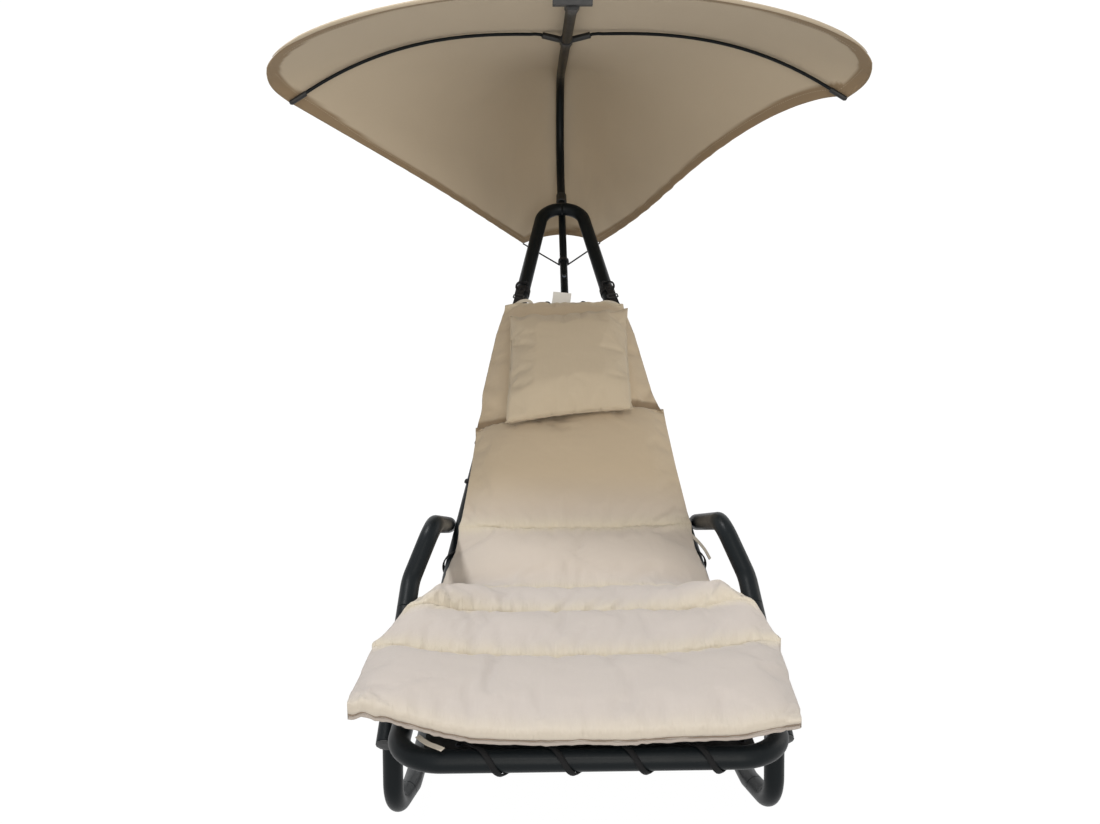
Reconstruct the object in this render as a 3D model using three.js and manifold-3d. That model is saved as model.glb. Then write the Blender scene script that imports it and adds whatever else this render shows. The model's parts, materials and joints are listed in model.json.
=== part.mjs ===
// Rocking sun lounger with a canopy: bent steel tubes, a laced sling, a channelled cushion and a
// leaf-shaped sunshade on a pole that plugs onto a mast behind the head arch.
// Millimetres. X to the right of someone who faces the foot end, Y from foot to head, Z up.

import * as THREE from 'three';
import { mergeVertices } from 'three/addons/utils/BufferGeometryUtils.js';
import Module from 'manifold-3d';

const wasm = await Module();
wasm.setup();

// Tube stock
const frameTube = { radius: 19, sides: 12 };
const barTube = { radius: 12.5, sides: 10 };
const mastTube = { radius: 11, sides: 10 };
const poleTube = { radius: 12.5, sides: 10 };
const bowRod = { radius: 4, sides: 6 };
const hemRod = { radius: 4, sides: 6 };
const seat = 0.3;                    // gap left between two pieces that touch
const bendStep = Math.PI / 9;        // largest turn between two rings of a bend
const wideStep = Math.PI / 50;       // the same on a bend of great radius
const wideBend = 400;                // radius from which a bend counts as wide
const overrun = 6;                   // how far a cutting tool runs past a face

// Plug joints between tubes
const spigotRadius = 16;
const spigotLength = 34;
const socketDepth = 38;
const socketPlay = 0.35;

// Bed frame: a foot hoop, two side tubes and a head arch, plugged together
const railHeight = 313;              // centre of the foot rail above the floor
const railBend = 78;
const legRestLength = 620;           // foot rail to the start of the lumbar bend
const legRestRise = 27;
const lumbarLength = 140;
const lumbarRise = 62;
const sideHalfWidth = 315;           // half width where the taper starts
const railFlare = 5;                 // foot rail's corners outside that
const railHalfWidth = sideHalfWidth + railFlare;
const taperStart = 330;
const lumbarTaper = 39.5;
const lumbarHalfWidth = sideHalfWidth - lumbarTaper;
const frameBend = 260;
const backAngle = THREE.MathUtils.degToRad(38.6);
const backLength = 1287;             // lumbar bend to the top of the arch, along the back
const archHalfWidth = 55.7;          // half width of the side lines at the height of the apex
const footSeamAt = 480;              // distance of the foot plug joints behind the rail
const archSeamShare = 0.41;          // place of the upper plug joints along the back

// Side frames: armrest, side rail, rocker
// Offsets from the side tube's half width and the foot rail's height
const sideRail = { topOut: 29, topUp: 105.5, footOut: 46, footDown: 71 };
const sideRailTop = { x: sideHalfWidth + sideRail.topOut, y: 425, z: railHeight + sideRail.topUp };
const sideRailFoot = { x: sideHalfWidth + sideRail.footOut, y: 207, z: railHeight - sideRail.footDown };
const armBoltDown = 114;             // arm bolt, along the back from the lumbar bend
const armOverhang = 34;
const armRise = { inward: 18, up: 247 };
const armTop = { x: sideHalfWidth - armRise.inward, y: 545, z: railHeight + armRise.up };
const elbowAbove = 68;               // elbow of the armrest above the plug joint, along the rail
const armBend = 58;
const elbowBend = 80;
const rockerRadius = 2800;
const rockerCentre = 858;            // distance of the lowest point behind the foot rail
const rockerOut = 27;
const rockerHalfWidth = sideHalfWidth + rockerOut;
const rockerFrontSeam = 372;
const rockerRearSeam = 1262;
const rockerStep = THREE.MathUtils.degToRad(1.9);
const frontLegAt = 268;
const frontToe = THREE.MathUtils.degToRad(7);   // toe-in of the front bend
const frontLegBend = 70;
const rearCorner = 1425;
const rearBend = 110;
const stubShare = 0.3403;            // rear leg stub, as a share of the back's length
const stubAt = stubShare * backLength;
const stubLength = 70;

// Cross bars under the sling, placed along the bed
const kneeBarAt = 405;
const seatBarUp = 2;
const backBarShare = 0.4716;         // bars of the back, as shares of its length
const headBarShare = 0.6667;
const backBarUp = backBarShare * backLength;
const headBarUp = headBarShare * backLength;
const barSag = 46;
const stretcherRadius = 12.5;
const frontStretcherAt = 560;
const rearStretcherAt = 1100;

// Fasteners
const boltRadius = 3;
const boltHeadRadius = 6.5;
const boltHeadHeight = 3.4;
const nutRadius = 5.6;
const nutHeight = 6;
const boltPlay = 0.35;
const boltSides = 8;

// Mast and canopy pole
const mastBelowBar = 22;
const mastAboveArch = 106;
const mastSpigot = 60;
const mastSocketPlay = 0.5;
const collarRadius = 16;
const collarLength = 38;
const poleHookRadius = 179;
const poleFront = -1037.8;           // front end of the pole, from the arch's apex
const poleFrontRise = 6;
const hub = { at: -565.8, length: 46, wall: 4, sleeve: 8, reach: 46 };

// Canopy cover: half outline, right side, from the arch's apex
const coverLift = 23;                // cover above the centre of the pole
const coverThick = 2;
const coverFront = -1075.8;
const coverWing = { x: 676, y: -865.8, z: 296.1 };
const coverTip = { x: 651, y: -765.8, z: 245.1 };
const coverWaist = { x: 352, y: -310.8, z: 57.1 };
const coverCorner = { x: 122, y: 110.2, z: -103.9 };
const coverTail = { x: 0, y: 149.2, z: -78.9 };
const frontRows = 7;
const rearRows = 17;
const coverColumns = 9;
const coverCrowding = 0.5;           // how far its columns crowd towards the edges
const frontRound = 0.6;              // how fully the front hem rounds into the wings
const bowCurve = 1.15;
const tailCurve = 1.8;
const ridgeDrop = 2.8;               // power of the fall from the pole to the edge, at the bow
const tailDrop = 1.7;
const hemRoll = 4.5;
const bowBelow = 8.8;                // bow rod's centre below the cover
const bowInset = 0.985;
const bowPieces = 9;
const tipCap = { radius: 6.2, bore: 4.4, length: 40, dome: 4, plug: 30 };
const frontClip = { x: 82, y: 24, z: 13 };
const clipSocket = { radius: 16.5, length: 34 };
const tensionRadius = 1.8;
const ringUp = -212;                 // cord ring on the mast, from the arch
const ring = { outer: 16, length: 9 };

// Sling, lacing and soft parts
const slingThick = 2.4;
const slingSteps = [-72, -30, 10, 50];   // rows round each bend of the bed
const slingMiddle = 0.71;
const slingInset = 44;               // sling edge inside the tube's centre line
const slingHeadEnd = 24;             // the same from the head bar
const eyeletInset = 9;
const eyelet = 10;
const laceRadius = 2.75;
const laceSides = 5;
const sideEyelets = [[90, 202], [344, 466, 588, 710, 832], [954, 1076, 1198, 1320, 1442, 1564]];
// Eyelets at the foot rail, as shares of its straight half
const railEyelets = [-0.897, -0.409, 0.0785, 0.566, 1.054].map((share) => share * (railHalfWidth - railBend));
const headEyelets = [[-70, -22], [22, 70]];
// Lace round a tube between two eyelets: share of the way, then angle round the tube
const laceTurns = [[0.25, 60], [0.35, 105], [0.45, 150], [0.53, 195], [0.62, 240], [0.7, 285], [0.75, 300]];
const lacePlay = 1.15;               // between lace and tube
const laceSlack = 7;                 // lace above and below its eyelet
const laceNear = 0.05;
const laceTurn = THREE.MathUtils.degToRad(45);   // largest turn round the tube between two points

// Cushion: [distance along the bed, thickness share, half width, edge lift]
const cushionFrom = 27.4;            // underside above the centre line of the tubes
const cushionPuff = 50;
const cushionEdge = 22;
const cushionSeam = 24;
const cushionSeams = [-8, 268, 472, 640, 835, 1165, 1588];
const cushionSides = [               // [distance, half width beyond the side tube's]
  [-8, 40], [250, 47.8], [330, 43], [392, 34], [412, 8.5], [470, 8.5], [560, 7], [610, 8], [700, 3],
  [774, -5.2], [838, -2], [889, 4], [1017, 12], [1165, 24], [1210, 15], [1470, 22], [1588, 17],
];
const cushionLifts = [[300, 0], [350, 36], [385, 64], [408, 78], [430, 70], [450, 34], [480, 10], [520, 0]];
const cushionStepsPerChannel = 5;
const cushionColumns = [0, 0.3, 0.6, 0.8, 0.9, 0.96, 1];
const liftStarts = 0.72;
const liftEnds = 0.885;
const pillow = { from: 1135, to: 1487, half: 153, puff: 82, edge: 9, waist: 0.06, grid: 12 };
const strap = { up: 902, width: 22, thick: 1.6 };

const colours = {
  steel: 0x2a2f33, dark: 0x17191b, zinc: 0x9a9c9e, beige: 0xcbb995, sling: 0x1a1b1c, label: 0xf0eee8,
};
const steel = () => new THREE.MeshStandardMaterial({ color: colours.steel, roughness: 0.45, metalness: 0.4 });
const plastic = () => new THREE.MeshStandardMaterial({ color: colours.dark, roughness: 0.55, metalness: 0 });
const zinc = () => new THREE.MeshStandardMaterial({ color: colours.zinc, roughness: 0.35, metalness: 0.9 });
const cloth = () => new THREE.MeshStandardMaterial({ color: colours.beige, roughness: 0.9, metalness: 0 });
const mesh = () => new THREE.MeshStandardMaterial({ color: colours.sling, roughness: 0.85, metalness: 0 });
const white = () => new THREE.MeshStandardMaterial({ color: colours.label, roughness: 0.7, metalness: 0 });

const V = (x, y, z) => new THREE.Vector3(x, y, z);
const at = (p, side = 1) => V(side * p.x, p.y, p.z);
const mirrored = (p) => V(-p.x, p.y, p.z);
const along = (p, dir, length) => p.clone().addScaledVector(dir, length);
const sides = [['right', 1], ['left', -1]];

const lounger = new THREE.Group();
function add(group, name, geometry, material) {
  const piece = new THREE.Mesh(geometry, material);
  piece.name = name;
  group.add(piece);
}

// A circular arc in space, from a start point round a centre
class Arc3 extends THREE.Curve {
  constructor(centre, start, tangent, angle) {
    super();
    this.centre = centre;
    this.out = start.clone().sub(centre);
    this.ahead = tangent.clone().setLength(this.out.length());
    this.angle = angle;
  }
  getPoint(t) {
    const a = t * this.angle;
    return this.centre.clone().addScaledVector(this.out, Math.cos(a)).addScaledVector(this.ahead,
      Math.sin(a));
  }
  getTangent(t) {
    const a = t * this.angle;
    return this.ahead.clone().multiplyScalar(Math.cos(a)).addScaledVector(this.out, -Math.sin(a)).normalize();
  }
  getLength() {
    return this.angle * this.out.length();
  }
}

// The centre line of a bent tube: straight runs between corners, each corner rounded to its radius
function bentPath(corners) {
  const runs = [];
  let from = corners[0].at;
  for (let i = 1; i < corners.length - 1; i++) {
    const before = corners[i].at.clone().sub(corners[i - 1].at).normalize();
    const after = corners[i + 1].at.clone().sub(corners[i].at).normalize();
    const turn = before.angleTo(after);
    const cut = corners[i].bend * Math.tan(turn / 2);
    const start = along(corners[i].at, before, -cut);
    const inward = after.clone().sub(before).addScaledVector(before, 1 - before.dot(after)).normalize();
    runs.push(new THREE.LineCurve3(from, start));
    runs.push(new Arc3(along(start, inward, corners[i].bend), start, before, turn));
    from = along(corners[i].at, after, cut);
  }
  runs.push(new THREE.LineCurve3(from, corners[corners.length - 1].at));
  return runs.filter((run) => run.getLength() > seat);
}

// Point and direction at a distance along a row of runs; it runs straight on past both ends
function placeOn(runs, distance) {
  let left = distance;
  for (let i = 0; i < runs.length; i++) {
    const length = runs[i].getLength();
    if (left <= length || i === runs.length - 1 || (i === 0 && left < 0)) {
      const t = THREE.MathUtils.clamp(left / length, 0, 1);
      const dir = runs[i].getTangent(t).normalize();
      return { point: along(runs[i].getPoint(t), dir, left - t * length), dir };
    }
    left -= length;
  }
  return null;
}

const pathLength = (runs) => runs.reduce((sum, run) => sum + run.getLength(), 0);

// Distances of the rings that a bent centre line needs
function ringPlaces(runs) {
  const places = [0];
  let passed = 0;
  for (const run of runs) {
    const length = run.getLength();
    const step = run instanceof Arc3 && run.out.length() >= wideBend ? wideStep : bendStep;
    const count = run instanceof Arc3 ? Math.max(1, Math.ceil(run.angle / step)) : (run.rings ?? 1);
    for (let i = 1; i <= count; i++) places.push(passed + (length * i) / count);
    passed += length;
  }
  return places;
}

// Ends of a tube, as [distance beyond the end, radius] pairs from the axis out to the tube wall
const flatEnd = () => [[0, 0]];
const spigotEnd = () => [[spigotLength, 0], [spigotLength, spigotRadius], [-seat, spigotRadius]];
const roundFacets = Math.cos(Math.PI / frameTube.sides);
const socketEnd = (radius = (spigotRadius + socketPlay) / roundFacets, depth = socketDepth) => [
  [-depth, 0], [-depth, radius], [0, radius],
];

// A solid turned round a bent axis: rings at distances along the runs, closed on the axis at both ends
function turnedAlong(runs, radius, ringSides, startEnd = flatEnd(), finishEnd = flatEnd(), radiusAt = null) {
  const total = pathLength(runs);
  const wall = (s) => (radiusAt ? radiusAt(s / total) : radius);
  const rings = startEnd.map(([d, r]) => [-d, r]);
  const shoulder = (end) => (end[0][0] > 0 ? seat : 0);
  for (const s of ringPlaces(runs)) {
    const placed = THREE.MathUtils.clamp(s, shoulder(startEnd), total - shoulder(finishEnd));
    rings.push([placed, wall(placed)]);
  }
  for (const [d, r] of [...finishEnd].reverse()) rings.push([total + d, r]);
  const stops = [...new Set(rings.map(([s]) => s))].sort((a, b) => a - b);
  const frames = new Map();
  let across = null;
  for (const s of stops) {
    const { point, dir } = placeOn(runs, s);
    if (!across) {
      const guide = Math.abs(dir.x) > Math.SQRT1_2 ? V(0, 0, 1) : V(1, 0, 0);
      across = guide;
    }
    across = across.clone().addScaledVector(dir, -across.dot(dir)).normalize();
    frames.set(s, { point, across, up: dir.clone().cross(across) });
  }
  const points = [];
  const faces = [];
  const starts = [];
  for (const [s, r] of rings) {
    const { point, across: a, up } = frames.get(s);
    starts.push(points.length);
    if (r === 0) {
      points.push(point);
      continue;
    }
    for (let i = 0; i < ringSides; i++) {
      const turn = ((i + 0.5) / ringSides) * 2 * Math.PI;
      points.push(along(along(point, a, r * Math.cos(turn)), up, r * Math.sin(turn)));
    }
  }
  for (let k = 1; k < rings.length; k++) {
    const pointBefore = rings[k - 1][1] === 0;
    const pointAfter = rings[k][1] === 0;
    for (let i = 0; i < ringSides; i++) {
      const j = (i + 1) % ringSides;
      const a = starts[k - 1] + (pointBefore ? 0 : i);
      const b = starts[k - 1] + (pointBefore ? 0 : j);
      const c = starts[k] + (pointAfter ? 0 : j);
      const d = starts[k] + (pointAfter ? 0 : i);
      if (!pointBefore) faces.push(a, b, c);
      if (!pointAfter) faces.push(a, c, d);
    }
  }
  return solidFrom(points, faces);
}

// An indexed geometry from points and faces, turned so that its faces point out
function solidFrom(points, faces) {
  let volume = 0;
  const cross = V(0, 0, 0);
  for (let i = 0; i < faces.length; i += 3) {
    cross.crossVectors(points[faces[i + 1]], points[faces[i + 2]]);
    volume += points[faces[i]].dot(cross);
  }
  const order = volume < 0 ? [...faces].reverse() : faces;
  const geometry = new THREE.BufferGeometry();
  geometry.setAttribute('position', new THREE.Float32BufferAttribute(points.flatMap((p) => [p.x, p.y,
    p.z]), 3));
  geometry.setIndex(order);
  return geometry;
}

function toSolid(geometry) {
  const bare = geometry.clone();
  bare.deleteAttribute('normal');
  bare.deleteAttribute('uv');
  const merged = mergeVertices(bare);
  return new wasm.Manifold(new wasm.Mesh({
    numProp: 3,
    vertProperties: new Float32Array(merged.attributes.position.array),
    triVerts: new Uint32Array(merged.index.array),
  }));
}

function fromSolid(solid) {
  const { vertProperties, triVerts } = solid.getMesh();
  const geometry = new THREE.BufferGeometry();
  geometry.setAttribute('position', new THREE.Float32BufferAttribute(vertProperties, 3));
  geometry.setIndex([...triVerts]);
  return geometry;
}

const cut = (geometry, ...tools) => fromSolid(
  tools.reduce((solid, tool) => solid.subtract(toSolid(tool)), toSolid(geometry)),
);
const joined = (geometry, ...others) => fromSolid(
  others.reduce((solid, other) => solid.add(toSolid(other)), toSolid(geometry)),
);

// A round bar between two points
const roundBar = (from, to, radius, ringSides) => turnedAlong([new THREE.LineCurve3(from, to)], radius,
  ringSides);

// A turned piece: profile of [distance along the axis, radius], stood on a point and aimed along a direction
function turnedPiece(profile, point, dir, ringSides) {
  const outline = profile.map(([d, r]) => new THREE.Vector2(r, d));
  const geometry = new THREE.LatheGeometry(outline, ringSides);
  geometry.applyQuaternion(new THREE.Quaternion().setFromUnitVectors(V(0, 1, 0), dir.clone().normalize()));
  geometry.translate(point.x, point.y, point.z);
  geometry.deleteAttribute('normal');
  geometry.deleteAttribute('uv');
  return mergeVertices(geometry);
}

// A domed bolt with its nut: the grip is the stack of tube that it holds
function boltThrough(head, dir, grip) {
  const domeShare = 0.8;
  return turnedPiece([
    [-boltHeadHeight - seat, 0],
    [-boltHeadHeight - seat, boltHeadRadius * domeShare],
    [-seat, boltHeadRadius],
    [-seat, boltRadius],
    [grip + seat, boltRadius],
    [grip + seat, nutRadius],
    [grip + seat + nutHeight, nutRadius],
    [grip + seat + nutHeight, 0],
  ], head, dir, boltSides);
}
const boltHole = (head, dir, grip) => roundBar(
  along(head, dir, -overrun), along(head, dir, grip + overrun), boltRadius + boltPlay, boltSides,
);

// The domed plastic plug of an open tube end
const capDome = 4;
const capDomeShare = 0.55;
const plugLength = 20;
const plugRadius = 15.5;
function endCap(point, dir) {
  const { radius } = frameTube;
  return turnedPiece([
    [-plugLength, 0], [-plugLength, plugRadius], [seat, plugRadius], [seat, radius],
    [seat + capDome * capDomeShare, radius], [seat + capDome, radius * capDomeShare], [seat + capDome, 0],
  ], point, dir, frameTube.sides);
}
const cappedEnd = () => socketEnd((plugRadius + socketPlay) / roundFacets, plugLength + seat);

// Bed line in the YZ plane, right-hand side tube
const backDir = V(0, Math.cos(backAngle), Math.sin(backAngle));
const backNormal = V(0, -Math.sin(backAngle), Math.cos(backAngle));
const lumbarAt = V(lumbarHalfWidth, legRestLength + lumbarLength, railHeight + legRestRise + lumbarRise);
const archCorner = along(V(archHalfWidth, lumbarAt.y, lumbarAt.z), backDir, backLength);
const sideLine = archCorner.clone().sub(lumbarAt).normalize();
const legRestZ = (y) => railHeight + (legRestRise * y) / legRestLength;
const taperAt = V(sideHalfWidth, taperStart, legRestZ(taperStart));
const kneeShare = (legRestLength - taperStart) / (lumbarAt.y - taperStart);
const kneeAt = V(
  THREE.MathUtils.lerp(sideHalfWidth, lumbarHalfWidth, kneeShare), legRestLength, railHeight + legRestRise,
);
const seamShare = (footSeamAt - taperStart) / (legRestLength - taperStart);
const footSeam = taperAt.clone().lerp(kneeAt, seamShare);
const archSeam = lumbarAt.clone().lerp(archCorner, archSeamShare);
const archTurn = Math.acos(Math.abs(sideLine.x));
const archBend = (archHalfWidth / Math.tan(archTurn / 2)) * 0.998;

// A point of the right side tube, a length up the back from the lumbar bend
const onBack = (up) => along(lumbarAt, sideLine, up / sideLine.dot(backDir));

const frameHoles = [];               // bolt holes through the side tubes, filled in below

const footPath = bentPath([
  { at: footSeam },
  { at: taperAt, bend: wideBend },
  { at: V(railHalfWidth, 0, railHeight), bend: railBend },
  { at: V(-railHalfWidth, 0, railHeight), bend: railBend },
  { at: mirrored(taperAt), bend: wideBend },
  { at: mirrored(footSeam) },
]);
const sidePath = bentPath([
  { at: footSeam },
  { at: kneeAt, bend: frameBend },
  { at: lumbarAt, bend: frameBend },
  { at: archSeam },
]);
const archPath = bentPath([
  { at: archSeam },
  { at: archCorner, bend: archBend },
  { at: mirrored(archCorner), bend: archBend },
  { at: mirrored(archSeam) },
]);
const flip = (runs) => runs.map((run) => {
  if (run instanceof Arc3) {
    const start = run.getPoint(0);
    const ahead = V(-run.ahead.x, run.ahead.y, run.ahead.z);
    return new Arc3(mirrored(run.centre), mirrored(start), ahead, run.angle);
  }
  return new THREE.LineCurve3(mirrored(run.v1), mirrored(run.v2));
});
const onSide = (runs, side) => (side > 0 ? runs : flip(runs));
const frameSolid = (runs, grow = 0) => turnedAlong(runs, frameTube.radius + grow, frameTube.sides);

// Armrest: bolted outside the side tube, forward, round its bend and down into the side rail
const armBoltAt = onBack(armBoltDown);
const railDir = at(sideRailFoot).sub(at(sideRailTop)).normalize();
function besideOffset(dirA, dirB) {
  const cross = dirA.clone().cross(dirB);
  return ((2 * frameTube.radius + seat) * cross.length()) / Math.abs(cross.x);
}
const armRun = at(armTop).sub(armBoltAt);
const armGap = besideOffset(sideLine, armRun.clone().setX(0).normalize());
const armRear = V(armBoltAt.x + armGap, armBoltAt.y, armBoltAt.z);
const armDir = at(armTop).sub(armRear).normalize();
const armPath = bentPath([
  { at: along(armRear, armDir, -armOverhang) },
  { at: at(armTop), bend: armBend },
  { at: along(at(sideRailTop), railDir, -elbowAbove), bend: elbowBend },
  { at: at(sideRailTop) },
]);
const railPath = bentPath([{ at: at(sideRailTop) }, { at: at(sideRailFoot) }]);

// The place where the side rail passes outside the bed's side tube
const crossT = (() => {
  const top = at(sideRailTop);
  const foot = at(sideRailFoot);
  const rise = (t) => {
    const p = top.clone().lerp(foot, t);
    return p.z - legRestZ(p.y);
  };
  return rise(0) / (rise(0) - rise(1));
})();
const railCross = at(sideRailTop).lerp(at(sideRailFoot), crossT);

// Rocker: front leg and bend, runner on a wide arc, rear leg up to a stub under the back
const rockerHub = V(rockerHalfWidth, rockerCentre, frameTube.radius + rockerRadius);
function onRocker(y) {
  const angle = Math.asin((y - rockerCentre) / rockerRadius);
  const point = V(rockerHalfWidth, y, rockerHub.z - rockerRadius * Math.cos(angle));
  return { point, dir: V(0, Math.cos(angle), Math.sin(angle)), angle };
}
const seamRun = socketDepth + overrun;
const toeAt = rockerFrontSeam + seamRun;
const { point: toePoint, dir: toeDir } = onRocker(toeAt);
toeDir.x = -Math.tan(frontToe);
toeDir.normalize();
const frontSeamAt = along(toePoint, toeDir, -seamRun);
const cornerY = (i) => rockerCentre + rockerRadius * Math.sin((i + 0.5) * rockerStep);
const runnerPoints = [frontSeamAt, toePoint];
const firstCorner = Math.ceil(Math.asin((toeAt - rockerCentre) / rockerRadius) / rockerStep + 0.5);
for (let i = firstCorner; cornerY(i) < rockerRearSeam
  - seamRun; i++) runnerPoints.push(onRocker(cornerY(i)).point);
runnerPoints.push(onRocker(rockerRearSeam).point);
const runnerPath = runnerPoints.slice(1).map((to, i) => new THREE.LineCurve3(runnerPoints[i], to));
const rearSeamAt = runnerPoints[runnerPoints.length - 1];
const rearDir = rearSeamAt.clone().sub(runnerPoints[runnerPoints.length - 2]).normalize();
const legTopShare = (sideRailTop.y - frontLegAt) / (sideRailTop.y - sideRailFoot.y);
const legTop = at(sideRailTop).lerp(at(sideRailFoot), legTopShare);
const frontCorner = along(frontSeamAt, toeDir, (frontLegAt - frontSeamAt.y) / toeDir.y);
const frontLegPath = bentPath([
  { at: legTop },
  { at: frontCorner, bend: frontLegBend },
  { at: frontSeamAt },
]);
const stubTop = onBack(stubAt);
const rearFoot = along(rearSeamAt, rearDir, (rearCorner - rearSeamAt.y) / rearDir.y);
const stubDir = rearFoot.clone().sub(stubTop).normalize();
const stubFoot = along(stubTop, stubDir, stubLength);
const rearLegPath = bentPath([
  { at: rearSeamAt },
  { at: rearFoot, bend: rearBend },
  { at: stubFoot },
]);
const stubPath = bentPath([{ at: stubTop }, { at: stubFoot }]);

// Bolts: head outside, nut inside, straight across
const across = V(-1, 0, 0);
const facet = Math.cos(Math.PI / frameTube.sides);
const leanPlay = 1.2;                // washer room on tubes that lean inward
const armGrip = armRear.x - armBoltAt.x + 2 * (frameTube.radius + leanPlay);
const armBoltHead = V(armRear.x + frameTube.radius + leanPlay, armRear.y, armRear.z);
const railGrip = railCross.x - sideHalfWidth + 2 * frameTube.radius;
const railBoltHead = V(railCross.x + frameTube.radius, railCross.y, railCross.z);
frameHoles.push(boltHole(armBoltHead, across, armGrip));
const railHole = boltHole(railBoltHead, across, railGrip);

// Stretchers between the runners, held by a screw through each runner
const stretcherHole = 60;
function stretcherAt(y) {
  const { point } = onRocker(y);
  const half = rockerHalfWidth - frameTube.radius - seat;
  return { point, from: V(-half, y, point.z), to: V(half, y, point.z),
    head: V(rockerHalfWidth + frameTube.radius, y, point.z) };
}
const stretchers = [['front_stretcher', stretcherAt(frontStretcherAt)],
  ['rear_stretcher', stretcherAt(rearStretcherAt)]];
const screwLength = 2 * frameTube.radius + stretcherHole * 0.5;
function runnerScrew(head, dir) {
  return turnedPiece([
    [-boltHeadHeight - seat, 0], [-boltHeadHeight - seat, boltHeadRadius * 0.8], [-seat, boltHeadRadius],
    [-seat, boltRadius], [screwLength, boltRadius], [screwLength, 0],
  ], head, dir, boltSides);
}
const screwHole = (head, dir) => roundBar(
  along(head, dir, -overrun), along(head, dir, screwLength + overrun), boltRadius + boltPlay, boltSides,
);
const flipped = (geometry) => {
  const turned = geometry.clone().scale(-1, 1, 1);
  turned.setIndex([...turned.index.array].reverse());
  return turned;
};
const sided = (geometry, side) => (side > 0 ? geometry : flipped(geometry));

const footHoop = cut(turnedAlong(footPath, frameTube.radius, frameTube.sides, spigotEnd(), spigotEnd()),
  railHole, flipped(railHole));
add(lounger, 'foot_hoop_tube', footHoop, steel());
const archTube = turnedAlong(archPath, frameTube.radius, frameTube.sides, spigotEnd(), spigotEnd());
const sideTube = cut(
  turnedAlong(sidePath, frameTube.radius, frameTube.sides, socketEnd(), socketEnd()), ...frameHoles,
);
const armTube = cut(
  turnedAlong(armPath, frameTube.radius, frameTube.sides, cappedEnd(), spigotEnd()), ...frameHoles,
);
const railTube = cut(
  turnedAlong(railPath, frameTube.radius, frameTube.sides, socketEnd(), cappedEnd()), railHole,
);
const frontLeg = cut(
  turnedAlong(frontLegPath, frameTube.radius, frameTube.sides, flatEnd(), spigotEnd()),
    frameSolid(railPath, seat),
);
const runner = cut(
  turnedAlong(runnerPath, frameTube.radius, frameTube.sides, socketEnd(), socketEnd()),
  ...stretchers.map(([, s]) => screwHole(s.head, across)),
);
const rearLeg = turnedAlong(rearLegPath, frameTube.radius, frameTube.sides, spigotEnd(), socketEnd());
const stub = cut(
  turnedAlong(stubPath, frameTube.radius, frameTube.sides, flatEnd(), spigotEnd()),
    frameSolid(sidePath, seat),
);

for (const [name, side] of sides) {
  add(lounger, `side_frame_tube_${name}`, sided(sideTube, side), steel());
  add(lounger, `armrest_tube_${name}`, sided(armTube, side), steel());
  add(lounger, `side_rail_tube_${name}`, sided(railTube, side), steel());
  add(lounger, `front_leg_tube_${name}`, sided(frontLeg, side), steel());
  add(lounger, `runner_tube_${name}`, sided(runner, side), steel());
  add(lounger, `rear_leg_tube_${name}`, sided(rearLeg, side), steel());
  add(lounger, `rear_leg_stub_${name}`, sided(stub, side), steel());
  add(lounger, `armrest_cap_${name}`, sided(endCap(armPath[0].getPoint(0), armDir.clone().negate()),
    side), plastic());
  add(lounger, `side_rail_cap_${name}`, sided(endCap(at(sideRailFoot), railDir), side), plastic());
  add(lounger, `armrest_bolt_${name}`, sided(boltThrough(armBoltHead, across, armGrip), side), zinc());
  add(lounger, `side_rail_bolt_${name}`, sided(boltThrough(railBoltHead, across, railGrip), side), zinc());
}
add(lounger, 'head_arch_tube', archTube, steel());
for (const [name, s] of stretchers) {
  const bar = roundBar(s.from, s.to, stretcherRadius, barTube.sides);
  const hole = screwHole(s.head, across);
  add(lounger, name, cut(bar, hole, flipped(hole)), steel());
  for (const [sideName, side] of sides) {
    add(lounger, `${name}_screw_${sideName}`, sided(runnerScrew(s.head, across), side), zinc());
  }
}

// Cross bars, coped to the side tubes; all but the head bar bow down out of the sitter's way
function crossBar(centre, down, sag) {
  const half = centre.x;
  const corner = half * 0.62;
  const low = down.clone().multiplyScalar(sag);
  const path = bentPath([
    { at: centre },
    { at: V(corner, centre.y, centre.z).add(low), bend: sag + barTube.radius * 4 },
    { at: V(-corner, centre.y, centre.z).add(low), bend: sag + barTube.radius * 4 },
    { at: mirrored(centre) },
  ]);
  return turnedAlong(path, barTube.radius, barTube.sides);
}
const flatDown = V(0, 0, -1);
const backDown = backNormal.clone().negate();
const tubesRound = [frameSolid(footPath, seat), frameSolid(sidePath, seat),
  flipped(frameSolid(sidePath, seat)), frameSolid(archPath, seat)];
const kneeCentre = taperAt.clone().lerp(kneeAt, (kneeBarAt - taperStart) / (legRestLength - taperStart));
const seatCentre = onBack(seatBarUp);
const headBarBack = frameTube.radius - barTube.radius;
const headCentre = along(onBack(headBarUp), backNormal, -headBarBack);
add(lounger, 'knee_crossbar', cut(crossBar(kneeCentre, flatDown, barSag), ...tubesRound), steel());
add(lounger, 'seat_crossbar', cut(crossBar(seatCentre, flatDown, barSag), ...tubesRound), steel());
add(lounger, 'back_crossbar', cut(crossBar(onBack(backBarUp), backDown, barSag), ...tubesRound), steel());
const headBar = cut(roundBar(headCentre, mirrored(headCentre), barTube.radius, barTube.sides), ...tubesRound);

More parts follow.
